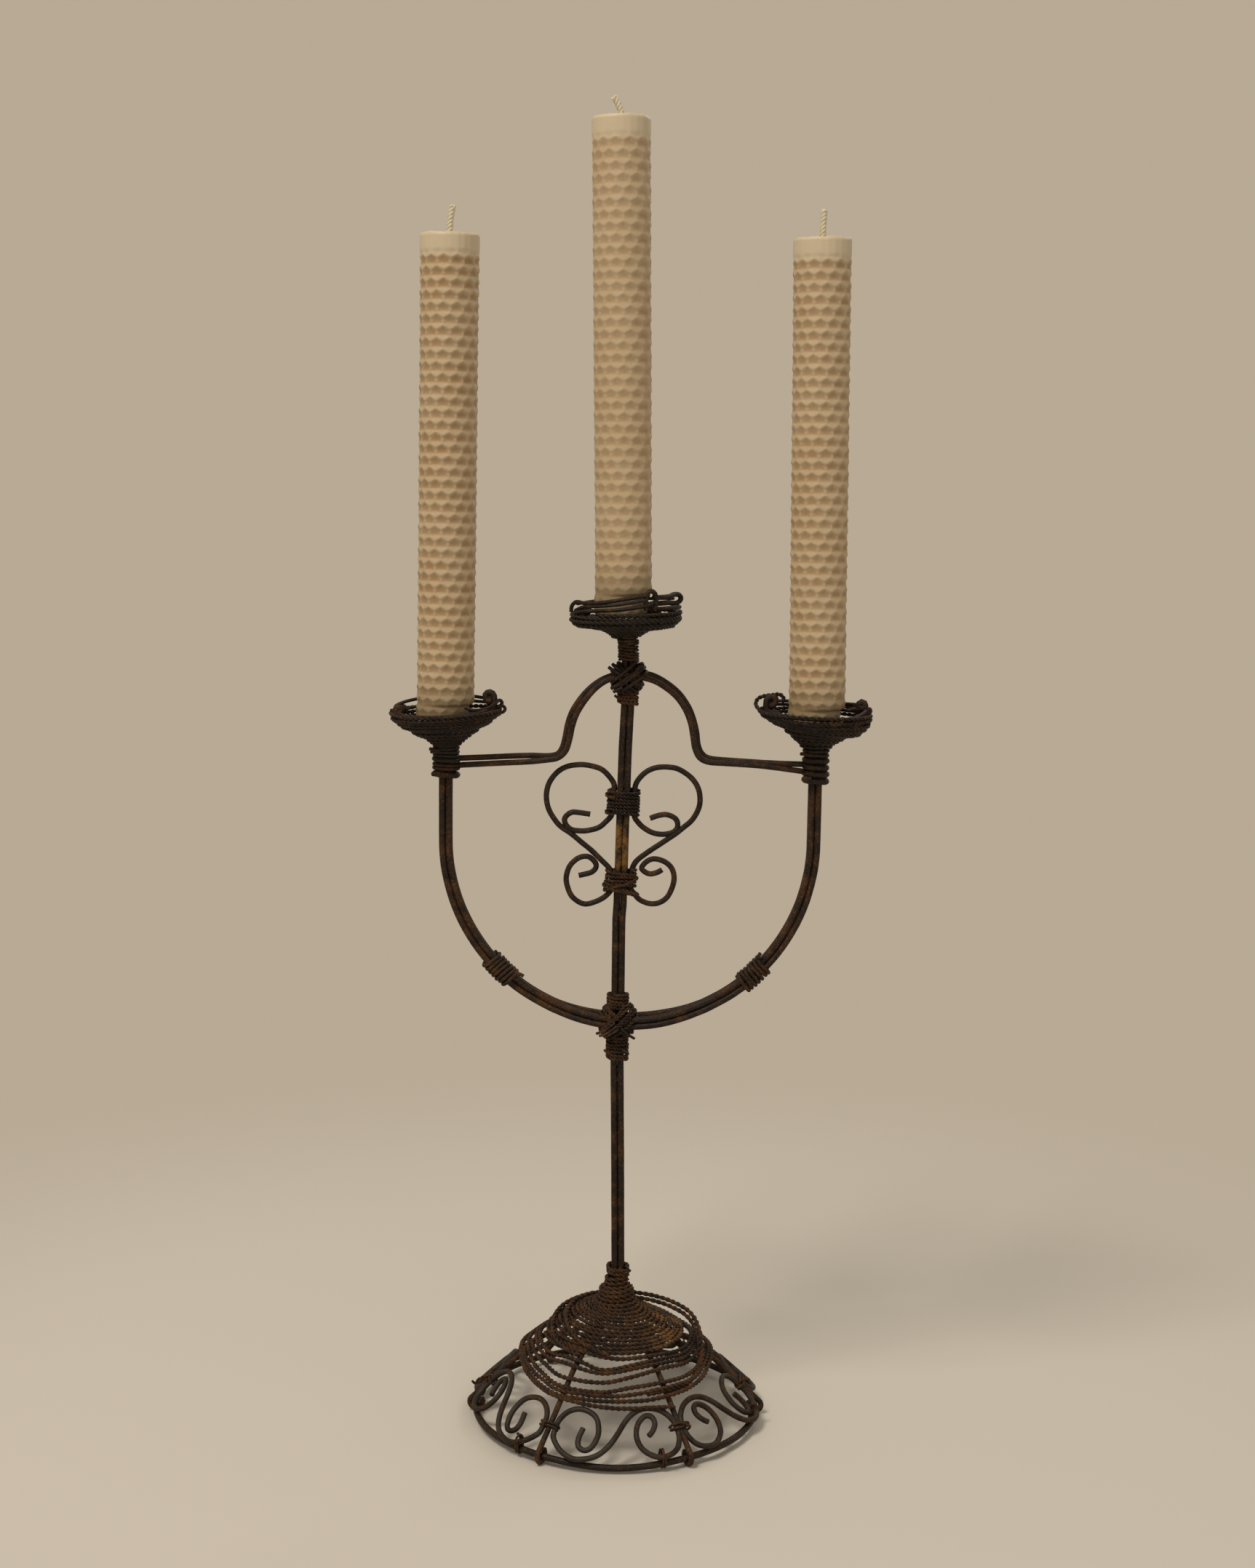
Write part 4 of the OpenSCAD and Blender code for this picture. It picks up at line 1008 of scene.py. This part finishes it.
# Rims: the wire radius and the line of each wire that is threaded through the curls
rims = {
    "Left": [
        (0.74, [(-60.6, 12.6, 318), (-67, 17.2, 318.2), (-77, 18.8, 317.8), (-86, 15.6, 317.4), (-90.4, 12, 317),
            (-94.6, 6, 316.4), (-97.2, -1, 315.6), (-97, -4, 314.6)]),
        (0.7, [(-56.6, 6, 316.4), (-61, 13, 316.2), (-70, 18.6, 316), (-80, 19.2, 315), (-90, 13.6, 313.6),
            (-94.6, 4, 313.4)]),
        (0.72, [(-95.8, -6, 312.8), (-91, -14.4, 312.8), (-81, -20, 313), (-70, -20.4, 313.8), (-61, -15.6, 314.6),
            (-56.8, -8, 315.6)]),
        (0.78, [(-66.8, -13.4, 316.6), (-63.4, -14.6, 315.6), (-59.6, -12, 315.6), (-56.6, -8.6, 316.4),
            (-54.4, -5.6, 318), (-52.9, -3.4, 318.8), (-51.9, -2.4, 317.6), (-52.8, -3, 316.3),
            (-54.4, -4.6, 316.2)]),
        (0.72, [(-53.4, -2, 315.9), (-51.7, -1.4, 316.1), (-50.7, -1, 314.9), (-51.5, -1.4, 313.6),
            (-53.4, -3, 313.2)]),
        (0.5, [(-97.6, -3, 313.4), (-99.2, -2.4, 313.6), (-99, -1.6, 314)]),
    ],
    "Right": [
        (0.74, [(101.6, 3, 318), (96, 13, 317.4), (84, 19.4, 317.2), (73, 17.6, 317.8), (65.6, 12, 318.4),
            (61.6, 5, 318.6)]),
        (0.7, [(100.8, 6, 316.4), (94, 15, 316), (83, 19.6, 315.8), (71, 16.4, 316.4), (63, 10, 317),
            (60.4, 2, 317.4)]),
        (0.84, [(60.2, -3, 316.4), (64, -13, 315.2), (73, -19.4, 314.5), (84, -21.2, 314.1), (95, -17, 314.4),
            (100.8, -8, 315.6), (102.2, -3.4, 316.8), (104.2, -1.6, 316.9), (104.7, -1.4, 315.7), (103, -2.2, 314.9),
            (100.6, -3.6, 315.2)]),
        (0.84, [(60.6, -9, 313.9), (65.6, -15.6, 313), (75, -20.4, 312.4), (84, -21.4, 312.1), (94, -17.6, 312.7),
            (100.4, -9.6, 313.9)]),
        (0.72, [(100.2, -6, 314), (102.4, -4.4, 313.4), (103.9, -3.4, 311.2), (103.5, -3.6, 309.6),
            (101.8, -5, 309.2)]),
        (0.76, [(93.8, -9, 316.8), (96.6, -7.4, 317.4), (98.8, -5, 316.8), (100.4, -3.6, 315.6)]),
    ],
    "Centre": [
        (0.86, [(-22.9, -5, 356.8), (-22.6, -5.8, 359.4), (-20.6, -8, 361.2), (-17.6, -11.4, 360.9),
            (-12.6, -16.2, 361.2), (-4, -20, 362.6), (7.5, -19.8, 364.6), (9.4, -18.8, 364.9)]),
        (0.86, [(-21.6, -7, 356.6), (-17.8, -12.6, 357.5), (-11.6, -17.2, 358.2), (-2.6, -20.6, 358.9),
            (8.4, -19.6, 360.6), (12, -17.6, 362.2)]),
        (0.72, [(-21.2, -8, 357.6), (-17.8, -11.8, 359.3), (-12, -16.8, 359.9), (-3, -20.6, 361), (8, -20.4, 363)]),
        (1.05, [(8.6, -19, 358.6), (8.3, -19.2, 362), (8.7, -19, 365.2), (10.4, -18.2, 366.7), (12.2, -17.4, 365.4),
            (12.6, -17, 362), (12, -17.6, 358.4)]),
        (1.1, [(11.4, -17.6, 364), (15, -14.6, 364), (18.4, -9.6, 364.2), (20.4, -6, 364.8), (22.4, -3.4, 364.4),
            (23.2, -2.8, 362.8), (21.9, -4, 361.2), (19.8, -6.6, 361.1), (18, -9.6, 361.5), (15, -13.8, 361.5),
            (10.4, -18, 361.4)]),
        (0.9, [(11, -18.4, 359.2), (17, -13.6, 359.4), (21, -7, 359.5), (22.8, -2, 359.2)]),
        (0.7, [(-20.6, 4, 359.6), (-13, 15.6, 360.2), (0, 20.4, 360.8), (13, 15.4, 361.6), (20.2, 4, 362.4)]),
        (0.8, [(20.4, -8.8, 357.6), (22.6, -4.4, 357.7), (23.2, -1.4, 356.9), (22.4, -1.6, 355.9),
            (20.6, -6, 355.6)]),
        (0.8, [(20.2, -9.4, 355.2), (22.5, -4.8, 355.2), (23, -1.8, 354.2), (22, -2.4, 353.2), (19.6, -8, 352.8)]),
    ],
}
# the last turn of the right cup's coil rises outside the rim as a loop
rimLoop = [
    (88, -21.8, 311.9), (77, -22.6, 312.3), (69, -19.8, 313.5), (62.6, -13.4, 314.6), (57.8, -6, 316.2),
    (55.9, -1.6, 318.2), (56.8, 0.6, 320.4), (59.6, 1, 321.6), (63.2, 0.2, 322.2), (65.8, -1, 322.6),
    (67.6, -1.6, 321.2), (67, -2, 319.4),
]
for name, lines in rims.items():
    parts = [grow("rod", [smooth(line)], ironDark, radius=radius, sides=9, step=0.5, wander=0.12, dents=0.07,
                  seed=250 + i) for i, (radius, line) in enumerate(lines)]
    if name == "Right":
        parts.append(grow("cord", [smooth(rimLoop)], rustyCup, radius=0.95, step=0.5, wander=0.1, lay=3.8, seed=258))
    makePiece("rimWire" + name, parts)

# Necks: the height, wire radius, half width and tilt of each turn
necks = {
    "Left": (-75.85, [
        (286.4, 1.25, 4.8, -0.35), (289.1, 0.74, 5.25, -0.2), (290.6, 0.74, 5.2, -0.25), (292.7, 1.12, 4.95, -0.4),
        (294.6, 0.8, 5.0, -0.3), (296.1, 0.78, 5.1, -0.2), (297.6, 0.8, 5.0, 0.1), (298.9, 0.72, 5.1, 0.2)]),
    "Right": (82.0, [
        (285.7, 1.3, 4.7, -0.3), (288.7, 1.32, 4.7, -0.25), (291.6, 1.32, 4.6, -0.3), (294.5, 1.3, 4.6, -0.2),
        (296.9, 0.95, 4.8, -0.3), (298.6, 0.8, 5.0, 0.1)]),
}
# ends of wire, from the middle of the neck, with their radius; only the left neck has the third
neckEnds = [
    (0.78, [(2.0, -4.8, 297.0), (4.4, -4.4, 297.4), (6.6, -2.6, 297.4)]),
    (1.1, [(2.0, -4.8, 287.0), (3.9, -4.6, 287.0), (5.4, -3.4, 286.8)]),
    (0.6, [(2.2, -4.6, 296.0), (4.6, -4.2, 296.2), (6.2, -2.8, 296.1)]),
]
for i, (name, (x, turns)) in enumerate(necks.items()):
    parts = []
    for j, (z, radius, wide, tilt) in enumerate(turns):
        ring = roundTurn(wide, wide - 0.2, lambda c, s: tilt * c + 0.25 * tilt * s)
        parts.append(grow("rod", [[p + Vector((x, 0, z)) for p in ring]], rustyCup, radius=radius, sides=10, step=0.6,
                          wander=0.18, dents=0.1, seed=260 + 20 * i + j))
    for j, (radius, line) in enumerate(neckEnds[:3 - i]):
        parts.append(shortWire([(x - left, y, z) for left, y, z in line], 274 + 20 * i + j, radius))
    makePiece("neckBinding" + name, parts)

neck = grow("windRod", [stemLine(336.2, 347.2)], rustyCord, radius=0.66, step=0.5, turns=8.6, halfWidth=3.9,
            halfDepth=3.9, corners=0.8, start=0.2, slack=0.5, slant=0.25, seed=280)
makePiece("neckBindingCentre", [neck])

print("cups done")


# Candles: a sheet of honeycomb wax, rolled up

def candleTree():
    graph, given = startTree("rolled candle", {
        "Radius": 12 * mm, "Length": 205 * mm, "Cells Around": 13.3, "Row Squeeze": 1.05, "Relief": 0.5 * mm,
        "Seam": 0.8 * mm, "Seam Angle": 0.3, "Foot Height": 9 * mm, "Foot Inset": 0.9 * mm, "Layer": 1.7 * mm,
        "Seed": 0.0, "Around": 168, "Along": 500, "Material": None})
    sheet = graph.get("GeometryNodeMeshGrid", {}, {
        "Size X": 1.0, "Size Y": 1.0, "Vertices X": given["Around"] + 1, "Vertices Y": given["Along"]})
    x, y, _ = graph.split(graph.get("GeometryNodeInputPosition"))
    angle = (x + 0.5) * turn
    right, back = angle.math("COSINE"), angle.math("SINE")
    radius, length, fullRelief = given["Radius"], given["Length"], given["Relief"]
    run = (y + 0.5) * (length + radius * 2.0) - radius
    height = run.math("MAXIMUM", 0.0).math("MINIMUM", length)
    inward = (run - length).math("MAXIMUM", 0.0) + (0 - run).math("MAXIMUM", 0.0)

    # distance from the middle of the nearest six-sided cell, 1 on the walls between cells
    cell = radius * turn / given["Cells Around"]
    row = cell * sqrt(3)
    fromSeam = ((angle - given["Seam Angle"]) % turn) / turn
    u, v = fromSeam * given["Cells Around"] * cell, height * given["Row Squeeze"]

    # the walls between neighbours in a row are pressed lower than the slanted ones
    def hexFrom(offset):
        a = ((u + cell * offset) % cell - cell * 0.5).math("ABSOLUTE")
        b = (v + row * offset) % row - row * 0.5
        slanted = a * 0.5 + b.math("ABSOLUTE") * (sqrt(3) / 2)
        return (a * 0.86).math("MAXIMUM", slanted) / (cell * 0.5), b / (cell * 0.58), a.math("MAXIMUM", slanted)

    (reachA, upA, farA), (reachB, upB, farB) = hexFrom(0.0), hexFrom(0.5)
    other = farB < farA
    reach, up = blend(reachA, reachB, other), blend(upA, upB, other)
    place = graph.combine(right * radius, back * radius, height)

    def noise(scale, shift, detail=2.0):
        return graph.noise(scale, detail, place, given["Seed"] + shift) - 0.5

    wall = (reach + noise(260.0, 3.0) * 0.25).math("MAXIMUM", 0.0).math("MINIMUM", 1.0) ** 2.2
    topEdge = graph.rise(height, length - 0.0095, length - 0.0065)
    footEdge = 1 - graph.rise(height, given["Foot Height"] - 0.0008, given["Foot Height"] + 0.0006)
    crushed = 1 - graph.rise(height + noise(120.0, 9.0) * 0.012, 0.004, 0.022)
    ridges = (u / cell * (2 * turn)).math("COSINE") * 0.5 + 0.5
    depth = fullRelief * (1 - crushed * 0.45)
    # each cell is deepest under its upper edge
    relief = (wall - 1) * (up * 0.55 + 0.85) * depth * (1 - topEdge) + (ridges - 1) * topEdge * fullRelief * 0.1

    # the sheet's outer edge stands proud at the seam, and the layer under it starts there
    seam = (fromSeam - 0.5) * given["Seam"]
    lip = (1 - graph.rise(fromSeam, 0.0, 0.012)) * given["Seam"] * -0.2
    bulk = radius - fullRelief * 0.15 + seam + lip + relief + noise(14.0, 5.0, 1.0) * 0.0007
    bulk = bulk - footEdge * given["Foot Inset"] * (right + 0.75)
    soft = (1 - graph.rise(length - height, 0.0, 0.0012)) * 0.0005 + (1 - graph.rise(height, 0.0, 0.0016)) * 0.0012
    wide = (bulk - soft) * (1 - inward / radius).math("MAXIMUM", 0.0)

    # the top shows the spiral of the roll
    layers = (wide / given["Layer"] + angle / turn) % 1.0
    gap = graph.rise((layers - 0.5).math("ABSOLUTE"), 0.32, 0.5)
    inside = graph.rise(inward, 0.0002, 0.0012)
    wave = noise(190.0, 7.0) * 0.0011 * graph.rise(height, length - 0.012, length)
    upper = graph.rise(run, length * 0.5, length * 0.6)
    lift = wave + inside * upper * (noise(330.0, 11.0) * 0.0008 - gap * 0.0011)

    # painted light and shade: the lower half of each cell and the wall under it are painted toward the paler wall
    # colour, as if lit from above, and the upper half toward the darker pit colour, as painted shade under the upper
    # lip
    shade = wall.math("MAXIMUM", graph.rise(0 - up, -0.12, 0.42) * 0.8)
    shade = 1 - (1 - shade) * fullRelief / (0.9 * mm)
    shade = shade * (1 - topEdge) * (1 - inside) + topEdge + inside * (1 - gap) * (1 - topEdge)

    # both fields are read on the flat sheet, so they are stored before it is rolled; cell carries the painted light and
    # shade of the cells
    for name, field in (("cell", shade), ("height", height * 1000.0)):
        sheet = graph.get("GeometryNodeStoreNamedAttribute", {"data_type": "FLOAT", "domain": "POINT"},
                          {"Geometry": sheet, "Name": name, "Value": field})
    rolled = graph.combine(right * wide, back * wide, height + lift)
    mesh = graph.get("GeometryNodeSetPosition", {}, {"Geometry": sheet, "Position": rolled})
    mesh = graph.get("GeometryNodeMergeByDistance", {}, {"Geometry": mesh, "Distance": 0.00001})
    return endTree(graph, shadeSmooth(graph, mesh), given)


trees["candle"] = candleTree()

waxSize = {"radius": 12.35, "length": 204.7, "seam": 0.7, "footHeight": 9.5, "footInset": 1.25, "layer": 1.75}
wickSize = {"radius": 1.35, "strands": 3, "lay": 5, "sunk": 4}
# bend is how far the tip of the wick stands to the right and to the back
candles = {
    "Left": {"x": -76.4, "z": 307.35, "lean": 0.45, "seed": 1, "seamAngle": 0.35, "relief": 0.9, "bend": (1.3, 0.0),
             "wick": 11.4},
    "Centre": {"x": -0.6, "z": 354.9, "lean": -1.0, "seed": 2, "seamAngle": 5.6, "relief": 0.62, "bend": (-3.2, 0.3),
               "wick": 8.2},
    "Right": {"x": 82.3, "z": 307.35, "lean": -0.75, "seed": 3, "seamAngle": 5.9, "relief": 0.84, "bend": (0.4, 0.2),
              "wick": 11.5},
}
wax, cotton = waxMaterial(waxSize["length"]), wickMaterial()
for name, candle in candles.items():
    stand = Matrix.Translation(Vector((candle["x"], 0, candle["z"])) * mm)
    stand = stand @ Matrix.Rotation(radians(candle["lean"]), 4, "Y")
    body = "candle_" + name.lower()
    roll = grow("candle", [], wax, relief=candle["relief"], seed=10 * candle["seed"], seamAngle=candle["seamAngle"],
                **waxSize)
    roll.transform(stand)
    makePiece("candle" + name, [roll], body)
    (bx, by), top, tall = candle["bend"], waxSize["length"], candle["wick"]
    line = [(0, 0, top - wickSize["sunk"]), (0, 0, top + 0.6), (bx * 0.15, by * 0.3, top + tall * 0.35),
            (bx * 0.5, by, top + tall * 0.7), (bx, by * 0.6, top + tall)]
    thread = grow("cord", [smooth(line)], cotton, radius=wickSize["radius"], sides=8, step=0.3, wander=0.3, dents=0.3,
                  lay=wickSize["lay"], strands=wickSize["strands"], seed=300 + candle["seed"])
    thread.transform(stand)
    makePiece("wick" + name, [thread], body)

print("candles rolled")


# Floor, light and camera

stageLook = {
    "floor": srgb(203, 193, 178), "sky": srgb(184, 170, 149), "fill": srgb(228, 222, 212), "ambient": 0.54,
    "radius": 1.6, "fadeFrom": 0.24, "fadeTo": 0.62,
}


def floorMaterial():
    material, graph, place = newMaterial("pale floor")
    x, y, _ = graph.split(place)
    far = graph.rise((x * x + y * y).math("SQRT"), stageLook["fadeFrom"], stageLook["fadeTo"])
    cloth = graph.get("ShaderNodeBsdfPrincipled", {}, {
        "Base Color": stageLook["floor"], "Roughness": 0.9, "Specular IOR Level": 0.1,
        "Normal": graph.bump(0.1, 0.1, graph.noise(900.0, 2.0, place))})
    both = graph.get("ShaderNodeMixShader", {}, {0: far, 1: cloth, 2: graph.get("ShaderNodeBsdfTransparent")})
    graph.node("ShaderNodeOutputMaterial", {}, {0: both})
    return material


disc = bmesh.new()
bmesh.ops.create_circle(disc, cap_ends=True, radius=stageLook["radius"], segments=96)
floorMesh = bpy.data.meshes.new("floor")
disc.to_mesh(floorMesh)
disc.free()
floorMesh.materials.append(floorMaterial())
floor = bpy.data.objects.new("floor", floorMesh)
scene.collection.objects.link(floor)

# the camera sees a plain wall, and the object is lit by a paler one
world = bpy.data.worlds.new("studio")
scene.world = world
world.use_nodes = True
world.node_tree.nodes.clear()
graph = Graph(world.node_tree)
rays = graph.node("ShaderNodeLightPath").outputs
direct, glossy, through = [Value(world.node_tree, rays["Is %s Ray" % kind])
                           for kind in ("Camera", "Glossy", "Transmission")]
seen = direct.math("MAXIMUM", glossy).math("MAXIMUM", through)
ambient = graph.get("ShaderNodeBackground", {}, {"Color": stageLook["fill"], "Strength": stageLook["ambient"]})
wall = graph.get("ShaderNodeBackground", {}, {"Color": stageLook["sky"], "Strength": 1.0})
graph.node("ShaderNodeOutputWorld", {}, {0: graph.get("ShaderNodeMixShader", {}, {0: seen, 1: ambient, 2: wall})})

# place and target, size, watts and tint of each lamp
lamps = {
    "key": ((-0.9, -0.95, 2.25), (0, 0, 0.3), 0.8, 34, (1.0, 0.965, 0.91)),
    "front": ((0.7, -1.9, 0.9), (0, 0, 0.25), 1.2, 6, (1.0, 0.98, 0.95)),
    "back": ((0.9, 1.3, 1.4), (0, 0, 0.3), 0.8, 5, (0.98, 0.98, 1.0)),
}
for name, (place, target, size, watts, tint) in lamps.items():
    lamp = bpy.data.lights.new(name, "AREA")
    lamp.shape, lamp.size, lamp.energy, lamp.color = "DISK", size, watts, tint
    stand = bpy.data.objects.new(name, lamp)
    stand.location = place
    stand.rotation_euler = (Vector(target) - Vector(place)).to_track_quat("-Z", "Y").to_euler()
    scene.collection.objects.link(stand)

cameraLook = {"lens": 51.76, "sensor": 36, "near": 0.05, "place": (0.00175, -0.955, 0.4224), "down": 8.3, "roll": 0.76}
camera = bpy.data.cameras.new("camera")
camera.lens, camera.sensor_width, camera.clip_start = cameraLook["lens"], cameraLook["sensor"], cameraLook["near"]
eye = bpy.data.objects.new("camera", camera)
eye.matrix_world = (Matrix.Translation(cameraLook["place"]) @ Matrix.Rotation(radians(90 - cameraLook["down"]), 4, "X")
                    @ Matrix.Rotation(radians(cameraLook["roll"]), 4, "Z"))
scene.collection.objects.link(eye)
scene.camera = eye
scene.view_settings.view_transform = "Standard"
